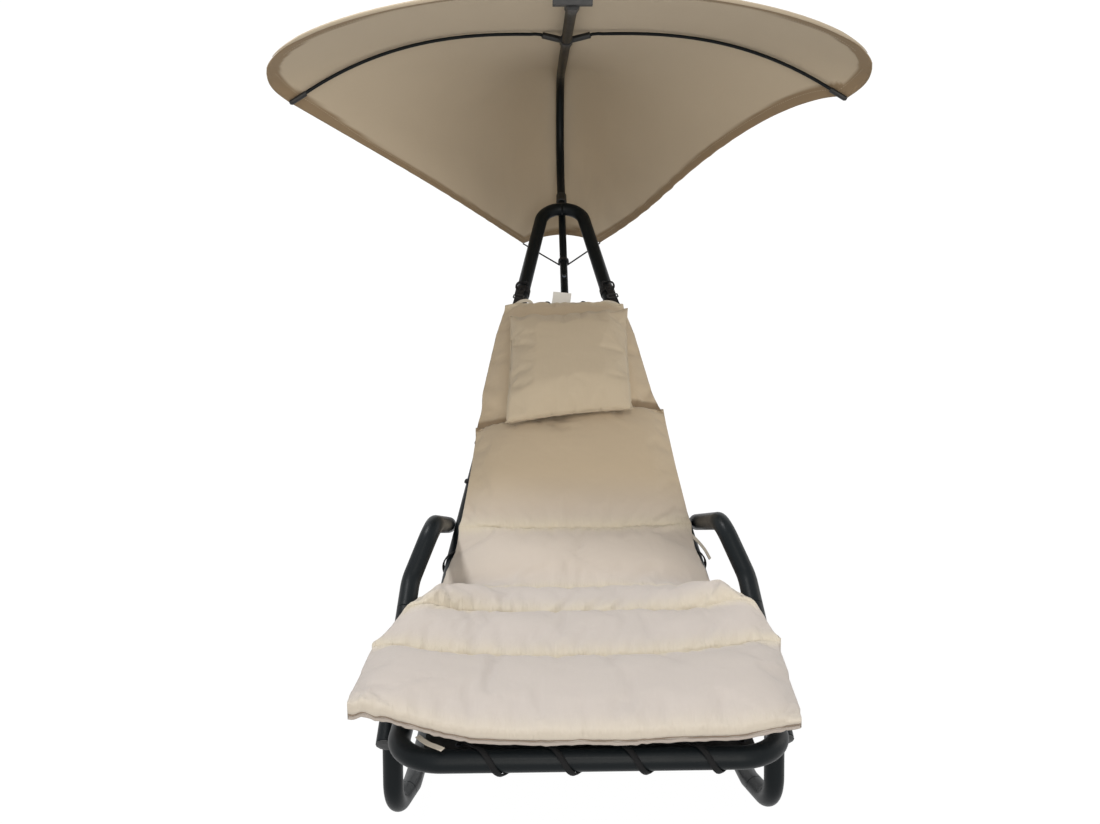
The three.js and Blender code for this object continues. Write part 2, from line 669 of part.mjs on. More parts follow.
// Mast behind the head arch: welded to the head bar, its upper end is the spigot of the canopy pole
const mastBehind = frameTube.radius + mastTube.radius + seat;
const apex = V(0, archCorner.y, archCorner.z);
const mastAtArch = along(apex, backNormal, -mastBehind);
const mastFoot = along(mastAtArch, backDir, headBarUp - backLength - mastBelowBar);
const collarFoot = along(mastAtArch, backDir, mastAboveArch - collarLength);
const poleFoot = along(mastAtArch, backDir, mastAboveArch + seat);
const mastTop = along(mastAtArch, backDir, mastAboveArch + mastSpigot);
const mastBody = roundBar(mastFoot, mastTop, mastTube.radius, mastTube.sides);
const screwUp = 283;                 // mast screw below the arch, along the mast
const mastScrewAt = along(along(mastAtArch, backDir, -screwUp), backNormal, mastTube.radius);
const mastHole = roundBar(
  along(mastScrewAt, backNormal, overrun), along(mastScrewAt, backNormal, -mastTube.radius),
    boltRadius + boltPlay, boltSides,
);
add(lounger, 'head_crossbar', cut(headBar, roundBar(mastFoot, mastTop, mastTube.radius + seat,
  mastTube.sides)), steel());
add(lounger, 'mast_tube', cut(mastBody, mastHole), steel());
add(lounger, 'mast_screw', turnedPiece([
  [-mastTube.radius * 0.8, 0], [-mastTube.radius * 0.8, boltRadius], [seat, boltRadius],
    [seat, boltHeadRadius],
  [seat + boltHeadHeight, boltHeadRadius * 0.6], [seat + boltHeadHeight, 0],
], mastScrewAt, backNormal, boltSides), zinc());
const collarBore = (mastTube.radius + seat) / Math.cos(Math.PI / mastTube.sides);
const collarLip = 2;
add(lounger, 'mast_collar', turnedPiece([
  [0, collarBore], [0, collarRadius - collarLip], [collarLip, collarRadius],
    [collarLength - collarLip, collarRadius],
  [collarLength, collarRadius - collarLip], [collarLength, collarBore], [0, collarBore],
], collarFoot, backDir, frameTube.sides), plastic());

// Canopy: everything that lifts off the mast with the pole
const canopy = new THREE.Group();
lounger.add(canopy);
const hookFoot = along(poleFoot, backDir, mastSpigot + overrun);
const hookCentre = along(hookFoot, backNormal, poleHookRadius);
const hookTurn = Math.PI - backAngle;
const hookArc = new Arc3(hookCentre, hookFoot, backDir, hookTurn);
const hookEnd = hookArc.getPoint(1);
const fromApex = (p) => apex.clone().add(at(p));
const hubY = apex.y + hub.at;
const poleTip = V(0, apex.y + poleFront, hookEnd.z + poleFrontRise);
const polePath = [new THREE.LineCurve3(poleFoot, hookFoot), hookArc, new THREE.LineCurve3(hookEnd, poleTip)];
const poleDir = poleTip.clone().sub(hookEnd).normalize();
add(canopy, 'canopy_pole', turnedAlong(
  polePath, poleTube.radius, poleTube.sides, socketEnd(mastTube.radius + mastSocketPlay,
    mastSpigot + seat), flatEnd(),
), steel());

// Ridge of the cover: along the pole, over its hook and straight down to the tail
const ridgeRadius = poleHookRadius + coverLift;
const ridgeFront = V(0, apex.y + coverFront, poleTip.z + coverLift);
const ridgeCrest = V(0, hookCentre.y, hookCentre.z + ridgeRadius);
const ridgeBow = ridgeFront.clone().lerp(ridgeCrest, (hubY - ridgeFront.y) / (hookCentre.y - ridgeFront.y));
const ridgeArc = new Arc3(hookCentre, ridgeCrest, V(0, 1, 0), Math.PI / 2);
const ridgeRear = [
  new THREE.LineCurve3(ridgeBow, ridgeCrest), ridgeArc,
  new THREE.LineCurve3(ridgeArc.getPoint(1), fromApex(coverTail)),
];
const edgeRear = new THREE.CatmullRomCurve3([coverTip, coverWaist, coverCorner].map(fromApex));
const ridgeRearLength = pathLength(ridgeRear);

// A point of the cover's middle surface: row from 0 at the front hem over 1 at the bow to 2 at the tail
function coverPoint(row, share) {
  const v = Math.abs(share);
  const rear = Math.max(0, row - 1);
  const front = Math.min(1, row);
  const ridge = row < 1 ? ridgeFront.clone().lerp(ridgeBow, front) : placeOn(ridgeRear,
    rear * ridgeRearLength).point;
  const edge = row < 1 ? fromApex(coverWing).lerp(fromApex(coverTip), front) : edgeRear.getPointAt(rear);
  const rounded = (power) => THREE.MathUtils.lerp(1 - (1 - v ** 2) ** frontRound, v ** power, front);
  const sweep = rounded(THREE.MathUtils.lerp(bowCurve, tailCurve, rear));
  const drop = rounded(THREE.MathUtils.lerp(ridgeDrop, tailDrop, rear));
  return V(
    Math.sign(share) * edge.x * v,
    THREE.MathUtils.lerp(ridge.y, edge.y, sweep),
    THREE.MathUtils.lerp(ridge.z, edge.z, drop),
  );
}
const shareStep = 0.01;
function coverNormal(row, share) {
  const ahead = coverPoint(Math.min(2, row + shareStep),
    share).sub(coverPoint(Math.max(0, row - shareStep), share));
  const over = coverPoint(row, Math.min(1, share + shareStep)).sub(coverPoint(row,
    Math.max(-1, share - shareStep)));
  return over.cross(ahead).normalize();
}

// A closed slab from a grid of upper and lower points
function slabFrom(upper, lower) {
  const rows = upper.length;
  const columns = upper[0].length;
  const points = [...upper.flat(), ...lower.flat()];
  const top = (i, j) => i * columns + j;
  const low = (i, j) => rows * columns + i * columns + j;
  const faces = [];
  const quad = (a, b, c, d) => faces.push(a, b, c, a, c, d);
  for (let i = 1; i < rows; i++) {
    for (let j = 1; j < columns; j++) {
      const [a, b, c, d] = [[i - 1, j - 1], [i - 1, j], [i, j], [i, j - 1]];
      const turned = j > columns / 2 ? [b, c, d, a] : [a, b, c, d];
      quad(...turned.map((corner) => top(...corner)));
      const [e, f, g, h] = turned.map((corner) => low(...corner));
      quad(e, h, g, f);
    }
    quad(low(i - 1, 0), top(i - 1, 0), top(i, 0), low(i, 0));
    quad(top(i - 1, columns - 1), low(i - 1, columns - 1), low(i, columns - 1), top(i, columns - 1));
  }
  for (let j = 1; j < columns; j++) {
    quad(low(0, j - 1), low(0, j), top(0, j), top(0, j - 1));
    quad(top(rows - 1, j - 1), top(rows - 1, j), low(rows - 1, j), low(rows - 1, j - 1));
  }
  return solidFrom(points, faces);
}
const coverRowsAt = [
  ...Array.from({ length: frontRows }, (_, i) => i / frontRows),
  ...Array.from({ length: rearRows + 1 }, (_, i) => 1 + i / rearRows),
];
const coverShares = Array.from({ length: 2 * coverColumns + 1 }, (_, j) => {
  const share = j / coverColumns - 1;
  return THREE.MathUtils.lerp(share, Math.sin((Math.PI / 2) * share), coverCrowding);
});
const coverSide = (offset) => coverRowsAt.map((row) => coverShares.map(
  (share) => along(coverPoint(row, share), coverNormal(row, share), offset),
));
add(canopy, 'canopy_cover', slabFrom(coverSide(coverThick / 2), coverSide(-coverThick / 2)), cloth());

// Rolled front hem, just ahead of the cover's edge
const chain = (points) => points.slice(1).map((to, i) => new THREE.LineCurve3(points[i], to));
const hemPath = chain(coverShares.map((share) => {
  const [before, after] = [Math.max(-1, share - shareStep), Math.min(1, share + shareStep)];
  const ahead = coverPoint(0, after).sub(coverPoint(0, before)).cross(coverNormal(0, share)).normalize();
  return along(coverPoint(0, share), ahead, hemRoll + seat * 3);
}));
add(canopy, 'canopy_front_hem', turnedAlong(hemPath, hemRoll, hemRod.sides), cloth());

// Hub on the pole, bow rods under the cover, tip caps at the hem
const hubCentre = placeOn(polePath, pathLength(polePath) - (hubY - poleTip.y) / Math.abs(poleDir.y)).point;
const bowPoints = Array.from({ length: bowPieces }, (_, i) => {
  const share = THREE.MathUtils.lerp(0.1, bowInset, i / (bowPieces - 1));
  return along(coverPoint(1, share), coverNormal(1, share), -bowBelow);
});
const bowStart = V(poleTube.radius + hub.wall, hubCentre.y, hubCentre.z);
const bowPath = chain([bowStart, ...bowPoints]);
const bowDir = bowPath[0].getTangent(0);
const sleeve = roundBar(V(0, hubCentre.y, hubCentre.z), along(bowStart, bowDir, hub.reach), hub.sleeve,
  barTube.sides);
const hubBody = roundBar(
  along(hubCentre, poleDir, -hub.length / 2), along(hubCentre, poleDir, hub.length / 2),
  poleTube.radius + hub.wall, poleTube.sides,
);
const bowTool = roundBar(bowStart, along(bowStart, bowDir, hub.reach + overrun),
  bowRod.radius + seat * 3, poleTube.sides);
add(canopy, 'bow_hub', cut(
  joined(hubBody, sleeve, flipped(sleeve)), turnedAlong(polePath.slice(-1), poleTube.radius + seat,
    poleTube.sides),
  bowTool, flipped(bowTool),
), plastic());
const bow = turnedAlong(bowPath, bowRod.radius, bowRod.sides);
const bowEnd = bowPoints[bowPieces - 1];
const tipDir = bowPath[bowPath.length - 1].getTangent(1);
const cap = turnedPiece([
  [-tipCap.plug, tipCap.bore / roundFacets], [-tipCap.plug, tipCap.radius],
    [tipCap.length - tipCap.plug, tipCap.radius],
  [tipCap.length - tipCap.plug + tipCap.dome, tipCap.radius / 2],
    [tipCap.length - tipCap.plug + tipCap.dome, 0],
  [seat, 0], [seat, tipCap.bore / roundFacets], [-tipCap.plug, tipCap.bore / roundFacets],
], bowEnd, tipDir, poleTube.sides);
for (const [name, side] of sides) {
  add(canopy, `bow_rod_${name}`, sided(bow, side), steel());
  add(canopy, `bow_tip_cap_${name}`, sided(cap, side), plastic());
}

// Clip that holds the front hem to the end of the pole
const clipAt = along(poleTip, poleDir, clipSocket.length * 0.4);
const clipPlate = new THREE.BoxGeometry(frontClip.x, frontClip.y, frontClip.z);
clipPlate.translate(0, clipAt.y - frontClip.y * 0.3, clipAt.z);
const clipRing = roundBar(along(poleTip, poleDir, -clipSocket.length), clipAt, clipSocket.radius,
  poleTube.sides);
add(canopy, 'front_clip', cut(
  joined(clipPlate, clipRing), roundBar(along(poleTip, poleDir, poleFront),
    along(poleTip, poleDir, seat), poleTube.radius + seat, poleTube.sides),
), plastic());

// Tension cords from the rear corners to a ring round the mast
const ringAt = along(mastAtArch, backDir, ringUp);
add(canopy, 'cord_ring', turnedPiece([
  [0, (mastTube.radius + seat) / Math.cos(Math.PI / mastTube.sides)], [0, ring.outer],
    [ring.length, ring.outer],
  [ring.length, (mastTube.radius + seat) / Math.cos(Math.PI / mastTube.sides)],
  [0, (mastTube.radius + seat) / Math.cos(Math.PI / mastTube.sides)],
], ringAt, backDir, frameTube.sides), plastic());
const cordTop = along(coverPoint(2, 1), coverNormal(2, 1), -coverThick / 2 - tensionRadius - seat);
const cordAway = cordTop.clone().sub(ringAt);
cordAway.addScaledVector(backDir, -cordAway.dot(backDir)).normalize();
const cordEnd = tensionRadius * Math.sqrt(1 - (cordTop.clone().sub(ringAt).normalize().dot(cordAway)) ** 2);
const cordFoot = along(along(ringAt, backDir, ring.length / 2), cordAway, ring.outer + cordEnd - seat);
for (const [name, side] of sides) {
  add(canopy, `tension_cord_${name}`, sided(roundBar(cordFoot, cordTop, tensionRadius, bowRod.sides),
    side), plastic());
}

// Bed surface: a frame in the symmetry plane at a distance behind the foot rail along the bed
const bedPath = bentPath([
  { at: V(0, 0, railHeight) }, { at: V(0, kneeAt.y, kneeAt.z), bend: frameBend },
  { at: V(0, lumbarAt.y, lumbarAt.z), bend: frameBend }, { at: apex },
]);
function onBed(s, x = 0, up = 0) {
  const { point, dir } = placeOn(bedPath, s);
  const normal = V(0, -dir.z, dir.y);
  return { point: along(point, normal, up).setX(x), dir, normal };
}
const bendStretch = [taperStart, pathLength(bedPath) - backLength, pathLength(bedPath)];
function tubeHalfWidth(s) {
  const stops = [[0, railHalfWidth], [bendStretch[0], sideHalfWidth], [bendStretch[1], lumbarHalfWidth],
    [bendStretch[2], archHalfWidth]];
  return alongStops(stops, s);
}
function alongStops(stops, s) {
  if (s <= stops[0][0]) return stops[0][1];
  for (let i = 1; i < stops.length; i++) {
    if (s <= stops[i][0]) return THREE.MathUtils.mapLinear(s, stops[i - 1][0], stops[i][0],
      stops[i - 1][1], stops[i][1]);
  }
  return stops[stops.length - 1][1];
}

// Sling with a row of eyelets on each side, at the rail and at the head bar
const headBarS = bendStretch[1] + headBarUp;
const slingEnd = headBarS - slingHeadEnd;
const bedBends = [legRestLength, bendStretch[1]];
const slingStops = [
  slingInset, bendStretch[0], ...bedBends.flatMap((s) => slingSteps.map((step) => s + step)),
    slingMiddle * headBarS, slingEnd,
];
const slingSide = (up) => slingStops.map((s) => [-1, 0, 1].map(
  (side) => onBed(s, side * (tubeHalfWidth(s) - slingInset), up).point,
));
function holeAt(s, x) {
  const { point, dir } = onBed(s, x);
  const hole = new THREE.BoxGeometry(eyelet, eyelet, eyelet);
  hole.rotateX(Math.atan2(dir.z, dir.y));
  return hole.translate(point.x, point.y, point.z);
}
const sideHoles = sideEyelets.flat().map((s) => [s, tubeHalfWidth(s) - slingInset - eyeletInset]);
const slingHoles = [
  ...sideHoles.map(([s, x]) => holeAt(s, x)), ...sideHoles.map(([s, x]) => holeAt(s, -x)),
  ...railEyelets.map((x) => holeAt(slingInset + eyeletInset, x)),
  ...headEyelets.flat().map((x) => holeAt(slingEnd - eyeletInset, x)),
];
add(lounger, 'sling', cut(slabFrom(slingSide(slingThick / 2), slingSide(-slingThick / 2)),
  ...slingHoles), mesh());

// Lace: from eyelet to eyelet, each time once round the tube; between two runs of eyelets it skips a
// stretch where something else is bolted to the tube, and then goes round the other way
function laceRun(runs, place, radius, reach) {
  const points = [];
  const ringAway = (radius + laceRadius + lacePlay) / Math.cos(laceTurn / 2);
  runs.forEach((eyelets, k) => {
    const sense = k % 2 === 0 ? 1 : -1;
    const put = (s, inward, up) => points.push(place(s, inward, sense * up));
    put(eyelets[0], reach - laceSlack / 2, -laceSlack);
    eyelets.slice(1).forEach((to, i) => {
      const from = eyelets[i];
      const pitch = to - from;
      put(from, reach, 0);
      put(from + laceNear * pitch, reach - laceSlack / 2, laceSlack);
      for (const [share, degrees] of laceTurns) {
        const turn = THREE.MathUtils.degToRad(degrees);
        put(from + share * pitch, ringAway * Math.cos(turn), ringAway * Math.sin(turn));
      }
      put(to - laceNear * pitch, reach - laceSlack / 2, -laceSlack);
    });
    put(eyelets[eyelets.length - 1], reach, 0);
    put(eyelets[eyelets.length - 1], reach - laceSlack / 2, laceSlack);
  });
  return points;
}
const besideTube = (s, inward, up) => onBed(s, tubeHalfWidth(s) - inward, up).point;
const sideReach = slingInset + eyeletInset;
const laceTube = (...laid) => turnedAlong(chain(laceRun(...laid)), laceRadius, laceSides);
const sideLace = laceTube(sideEyelets, besideTube, frameTube.radius, sideReach);
const alongRail = (x, inward, up) => onBed(inward, x, up).point;
const alongHead = (x, inward, up) => {
  const back = inward > slingHeadEnd ? 0 : headBarBack;
  return onBed(headBarS - inward, x, up - back).point;
};
for (const [name, side] of sides) add(lounger, `lacing_${name}`, sided(sideLace, side), plastic());
add(lounger, 'lacing_foot', laceTube([railEyelets], alongRail, frameTube.radius, sideReach), plastic());
add(lounger, 'lacing_head', laceTube(headEyelets, alongHead, barTube.radius,
  slingHeadEnd + eyeletInset - lacePlay), plastic());

// Cushion: puffed channels between sewn seams, drawn in at the edges
const smooth = (t) => THREE.MathUtils.smoothstep(t, 0, 1);
const cushionStations = [];
for (let i = 1; i < cushionSeams.length; i++) {
  const from = cushionSeams[i - 1];
  const to = cushionSeams[i];
  const steps = to - from > 300 ? cushionStepsPerChannel + 2 : cushionStepsPerChannel;
  for (let k = i === 1 ? 0 : 1; k <= steps; k++) {
    const t = (1 - Math.cos((Math.PI * k) / steps)) / 2;
    const swell = Math.sqrt(Math.sin(Math.PI * t));
    const base = (k === 0 && i === 1) || (k === steps && i === cushionSeams.length - 1) ? cushionEdge
      : cushionSeam;
    cushionStations.push({ s: THREE.MathUtils.lerp(from, to, t),
      thick: base + (cushionPuff - base) * swell });
  }
}
const cushionShares = [...cushionColumns.slice(1).reverse().map((c) => -c), ...cushionColumns];
function cushionSide(isTop) {
  return cushionStations.map(({ s, thick }) => cushionShares.map((share) => {
    const v = Math.abs(share);
    const half = tubeHalfWidth(s) + alongStops(cushionSides, s);
    const lift = alongStops(cushionLifts, s) * smooth((v - liftStarts) / (liftEnds - liftStarts));
    const crown = Math.min(thick, cushionEdge + (thick - cushionEdge) * (1 - v ** 6));
    return onBed(s, share * half, cushionFrom + lift + (isTop ? crown : 0)).point;
  }));
}
add(lounger, 'seat_cushion', slabFrom(cushionSide(true), cushionSide(false)), cloth());

// Head pillow: a crowned square whose sides draw in between the corners
const headThick = Math.max(...cushionStations.filter(({ s }) => s > pillow.from).map(({ thick }) => thick));
const pillowShares = Array.from({ length: pillow.grid + 1 },
  (_, i) => -Math.cos((Math.PI * i) / pillow.grid));
function pillowSide(isTop) {
  return pillowShares.map((a) => pillowShares.map((b) => {
    const half = pillow.half * (1 - pillow.waist * (1 - a * a));
    const reach = ((pillow.to - pillow.from) / 2) * (1 - pillow.waist * (1 - b * b));
    const swell = ((1 - a ** 4) * (1 - b ** 4)) ** 0.6;
    const rise = isTop ? pillow.edge + (pillow.puff - pillow.edge) * swell : 0;
    return onBed((pillow.from + pillow.to) / 2 + a * reach, b * half,
      cushionFrom + headThick + seat + rise).point;
  }));
}
add(lounger, 'head_pillow', slabFrom(pillowSide(true), pillowSide(false)), cloth());

// Webbing loops of the cushion, round the side tubes above the head bar
const strapAt = onBack(strap.up);
const strapBore = (frameTube.radius + seat) / roundFacets;
const strapLoop = turnedPiece([
  [0, strapBore], [0, strapBore + strap.thick], [strap.width, strapBore + strap.thick],
    [strap.width, strapBore],
  [0, strapBore],
], strapAt, sideLine, frameTube.sides);
for (const [name, side] of sides) add(lounger, `cushion_strap_${name}`, sided(strapLoop, side), plastic());

// The origin is in the middle of the underside of the whole object's box
lounger.updateMatrixWorld(true);
const reachBox = new THREE.Box3().setFromObject(lounger, true);
const middle = reachBox.getCenter(V(0, 0, 0));
lounger.traverse((piece) => {
  if (piece.isMesh) piece.geometry.translate(0, -middle.y, -reachBox.min.z);
});
lounger.updateMatrixWorld(true);
export default lounger;
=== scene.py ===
# A rocking sun lounger with a canopy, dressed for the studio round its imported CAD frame.
# The sections follow the lounger as it is put together: steel, fasteners, sling, cushion,
# pillow, straps, canopy.
import json
import math

import bmesh
import bpy
from mathutils import Matrix, Vector, noise

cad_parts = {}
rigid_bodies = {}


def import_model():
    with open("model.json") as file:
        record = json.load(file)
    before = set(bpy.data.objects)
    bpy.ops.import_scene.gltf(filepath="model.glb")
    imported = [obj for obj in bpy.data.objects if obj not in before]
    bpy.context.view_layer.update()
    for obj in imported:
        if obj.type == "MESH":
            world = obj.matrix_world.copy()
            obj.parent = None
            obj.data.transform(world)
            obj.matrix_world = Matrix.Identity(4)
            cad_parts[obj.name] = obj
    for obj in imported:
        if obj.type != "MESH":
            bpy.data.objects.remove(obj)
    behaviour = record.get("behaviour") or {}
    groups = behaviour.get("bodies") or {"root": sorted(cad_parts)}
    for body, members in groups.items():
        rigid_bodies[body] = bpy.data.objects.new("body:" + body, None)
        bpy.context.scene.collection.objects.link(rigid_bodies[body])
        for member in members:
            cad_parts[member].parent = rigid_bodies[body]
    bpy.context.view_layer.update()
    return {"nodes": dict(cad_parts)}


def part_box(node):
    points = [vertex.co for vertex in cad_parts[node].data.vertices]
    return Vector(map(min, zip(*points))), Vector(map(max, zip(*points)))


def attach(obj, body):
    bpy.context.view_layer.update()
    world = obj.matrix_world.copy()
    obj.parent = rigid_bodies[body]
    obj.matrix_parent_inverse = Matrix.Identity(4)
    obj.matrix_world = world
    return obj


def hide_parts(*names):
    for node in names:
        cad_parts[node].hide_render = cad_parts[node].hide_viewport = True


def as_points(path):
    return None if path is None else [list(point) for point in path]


for leftover in list(bpy.data.objects):
    bpy.data.objects.remove(leftover)
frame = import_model()
scene = bpy.context.scene


# ---- Studio --------------------------------------------------------------------------------
# A photographer stands a step off the foot end, a hand's width left of the middle, and looks
# slightly down. A hard soft box nearly overhead stands for the sun, so the canopy shades the back.
EYE, LENS, SENSOR = (-0.0794, -2.6849, 1.1801), 36.69, 36
PAN, TILT, ROLL = [math.radians(degrees) for degrees in (-0.62, 90 - 9.86, -0.49)]
camera = bpy.data.objects.new("camera", bpy.data.cameras.new("camera"))
camera.data.sensor_width, camera.data.lens, camera.location = SENSOR, LENS, EYE
turn = Matrix.Rotation(PAN, 3, "Z") @ Matrix.Rotation(TILT, 3, "X") @ Matrix.Rotation(ROLL, 3, "Z")
camera.rotation_euler = turn.to_euler()
scene.collection.objects.link(camera)
scene.camera = camera
scene.view_settings.view_transform = "Standard"


class Wire:
    """A value in a finish; sums, differences and products on it add Math nodes."""

    def __init__(self, finish, socket):
        self.finish, self.socket = finish, socket

    def _maths(self, operation, *terms):
        return self.finish.node("ShaderNodeMath", {"operation": operation}, dict(enumerate(terms)))

    def __add__(self, other):
        return self._maths("ADD", self, other)

    def __sub__(self, other):
        return self._maths("SUBTRACT", self, other)

    def __rsub__(self, other):
        return self._maths("SUBTRACT", other, self)

    def __mul__(self, other):
        return self._maths("MULTIPLY", self, other)

    __radd__, __rmul__ = __add__, __mul__

    def most(self, other):
        return self._maths("MAXIMUM", self, other)

    def sine(self):
        return self._maths("SINE", self)

    def ramp(self, low, high, to_low=0.0, to_high=1.0):
        ends = {"Value": self, "From Min": low, "From Max": high, "To Min": to_low, "To Max": to_high}
        return self.finish.node("ShaderNodeMapRange", {"interpolation_type": "SMOOTHSTEP"}, ends)


def srgb(red, green, blue):
    """A paint colour read in everyday 0 to 255 values."""
    shares = [value / 255 for value in (red, green, blue)]
    return (*[v / 12.92 if v < 11 / 255 else ((v + 0.055) / 1.055) ** 2.4 for v in shares], 1.0)


class Finish:
    """A surface finish, built up from nodes round one Principled shader."""

    def __init__(self, name, **plain):
        self.material = bpy.data.materials.new(name)
        self.material.use_nodes = True
        self.tree = self.material.node_tree
        self.shader = self.tree.nodes["Principled BSDF"]
        for socket, value in plain.items():
            self.shader.inputs[socket.replace("_", " ")].default_value = value

    def node(self, kind, settings=None, sockets=None, out=0):
        made = self.tree.nodes.new(kind)
        for key, value in (settings or {}).items():
            setattr(made, key, value)
        for key, value in (sockets or {}).items():
            if isinstance(value, Wire):
                self.tree.links.new(value.socket, made.inputs[key])
            else:
                made.inputs[key].default_value = value
        return Wire(self, made.outputs[out])

    def place(self, scale=(1, 1, 1)):
        """Object coordinates in metres, stretched by scale."""
        spot = self.node("ShaderNodeTexCoord", out="Object")
        return self.node("ShaderNodeMapping", sockets={"Vector": spot, "Scale": scale})

    def along(self, axis):
        """One of the cloth's own two directions, in metres."""
        spot = self.node("ShaderNodeUVMap", {"uv_map": "cut"})
        return self.node("ShaderNodeSeparateXYZ", sockets={0: spot}, out=axis)

    def grain(self, scale, detail=2.0, roughness=0.5, stretch=(1, 1, 1)):
        settings = {"Vector": self.place(stretch), "Scale": scale, "Detail": detail, "Roughness": roughness}
        return self.node("ShaderNodeTexNoise", sockets=settings)

    def mask(self, name):
        return self.node("ShaderNodeAttribute", {"attribute_name": name}, out="Fac")

    def mix(self, share, one, other):
        return self.node("ShaderNodeMix", {"data_type": "RGBA"}, {0: share, 6: one, 7: other}, out=2)

    def relief(self, height, depth, over=None):
        """Bump of a height from 0 to 1, depth metres deep, over a coarser relief if there is one."""
        sockets = {"Strength": 1.0, "Distance": depth, "Height": height}
        if over:
            sockets["Normal"] = over
        return self.node("ShaderNodeBump", sockets=sockets)

    def feed(self, **wires):
        for socket, wire in wires.items():
            self.tree.links.new(wire.socket, self.shader.inputs[socket.replace("_", " ")])
        return self


STRAIGHT_RAYS = ("Is Camera Ray", "Is Glossy Ray", "Is Transmission Ray")
WHITE, ROOM_LIGHT, ROOM_TINT = 1.04, 0.4, (1.0, 0.955, 0.9, 1)


def meets_white(finish):
    """1 for rays that should meet plain white: straight from the camera, or off steel and glass."""
    direct, glossy, clear = [finish.node("ShaderNodeLightPath", out=ray) for ray in STRAIGHT_RAYS]
    return direct.most(glossy).most(clear)


floor_finish = Finish("studio_floor", Roughness=0.9)
floor_tone = floor_finish.mix(floor_finish.grain(1.5), srgb(200, 199, 196), srgb(208, 207, 204))
floor_finish.feed(Base_Color=floor_tone)
far = floor_finish.node("ShaderNodeVectorMath", {"operation": "LENGTH"}, {0: floor_finish.place()}, out=1)
glow = floor_finish.node("ShaderNodeEmission", sockets={"Color": (1, 1, 1, 1), "Strength": WHITE})
shadow_keeper = Wire(floor_finish, floor_finish.shader.outputs[0])
glow_share = meets_white(floor_finish) * far.ramp(0.6, 1.7, 0.955, 1.0)
lit = floor_finish.node("ShaderNodeMixShader", sockets={0: glow_share, 1: shadow_keeper, 2: glow})
floor_finish.tree.links.new(lit.socket, floor_finish.tree.nodes["Material Output"].inputs["Surface"])
SQUARE = ((-1, -1), (1, -1), (1, 1), (-1, 1))
FLOOR_REACH = 14
floor_mesh = bpy.data.meshes.new("studio_floor")
floor_mesh.from_pydata([(x * FLOOR_REACH, y * FLOOR_REACH, 0) for x, y in SQUARE], [], [(0, 1, 2, 3)])
floor_mesh.materials.append(floor_finish.material)
floor = bpy.data.objects.new("studio_floor", floor_mesh)
scene.collection.objects.link(floor)


class Surroundings(Finish):
    """The white room round the stage, as the world's own nodes."""

    def __init__(self):
        world = bpy.data.worlds.new("studio")
        world.use_nodes = True
        scene.world = world
        self.tree = world.node_tree
        seen = meets_white(self)
        strength = seen * (WHITE - ROOM_LIGHT) + ROOM_LIGHT
        tint = self.mix(seen, ROOM_TINT, (1, 1, 1, 1))
        sky = self.tree.nodes["Background"]
        self.tree.links.new(tint.socket, sky.inputs["Color"])
        self.tree.links.new(strength.socket, sky.inputs["Strength"])


Surroundings()
WARM = (1.0, 0.95, 0.88)
for name, stand, aim, size, power, colour in [
    ("key_light", (-1.7, -0.18, 4.5), (0, -0.2, 0.5), 0.62, 100, (1.0, 1.0, 1.0)),
    ("front_fill", (0.35, -4.3, 1.15), (0, 0, 0.9), 2.4, 54, WARM),
    ("front_high", (0.1, -3.9, 3.1), (0, -0.6, 0.5), 0.7, 26, WARM),
    ("side_fill", (3.4, 0.6, 1.6), (0, 0, 0.8), 2.2, 14, WARM),
]:
    lamp = bpy.data.lights.new(name, "AREA")
    lamp.shape, lamp.size, lamp.energy, lamp.color = "DISK", size, power, colour
    light = bpy.data.objects.new(name, lamp)
    light.location = stand
    light.rotation_euler = (Vector(aim) - Vector(stand)).to_track_quat("-Z", "Y").to_euler()
    scene.collection.objects.link(light)


# ---- Bed frame -----------------------------------------------------------------------------
# A foot hoop, two side tubes and a head arch of 38 mm round steel tube, bent cold, plugged
# together and powder coated in a satin anthracite with a fine orange peel.
def steel_finish(name, dark, light):
    """Powder coat: cloudy, a little dusty on top, scuffed at the floor, with a fine orange peel."""
    made = Finish(name, IOR=1.5, Specular_IOR_Level=0.12, Coat_Weight=0.02, Coat_Roughness=0.2)
    tone = made.mix(made.grain(9, 3), dark, light)
    dust = made.grain(140, 4, 0.7).ramp(0.56, 0.8)
    facing = made.node("ShaderNodeNewGeometry", out="Normal")
    upward = made.node("ShaderNodeSeparateXYZ", sockets={0: facing}, out=2).ramp(0.2, 1.0)
    tone = made.mix(dust * upward * 0.12, tone, srgb(110, 109, 104))
    height = made.node("ShaderNodeSeparateXYZ", sockets={0: made.place()}, out=2)
    scuffs = made.grain(60, 5, 0.75, (1, 0.25, 1)).ramp(0.55, 0.7) * height.ramp(0.012, 0.0)
    tone = made.mix(scuffs * 0.7, tone, srgb(112, 110, 106))
    peel = made.grain(420, 2)
    fleck = made.grain(2200, 1)
    made.feed(
        Base_Color=tone,
        Roughness=made.grain(35, 3) * 0.14 + 0.33 + scuffs * 0.25,
        Normal=made.relief(peel * 0.8 + fleck * 0.2, 0.00022),
    )
    return made


powder_coat = steel_finish("powder_coat", srgb(16, 21, 24), srgb(23, 28, 31))


def spot(x, y, z):
    """A point in the row frame, from millimetres behind the foot rail and above the floor."""
    return Vector((x, y - 989.37, z - 1.0)) / 1000


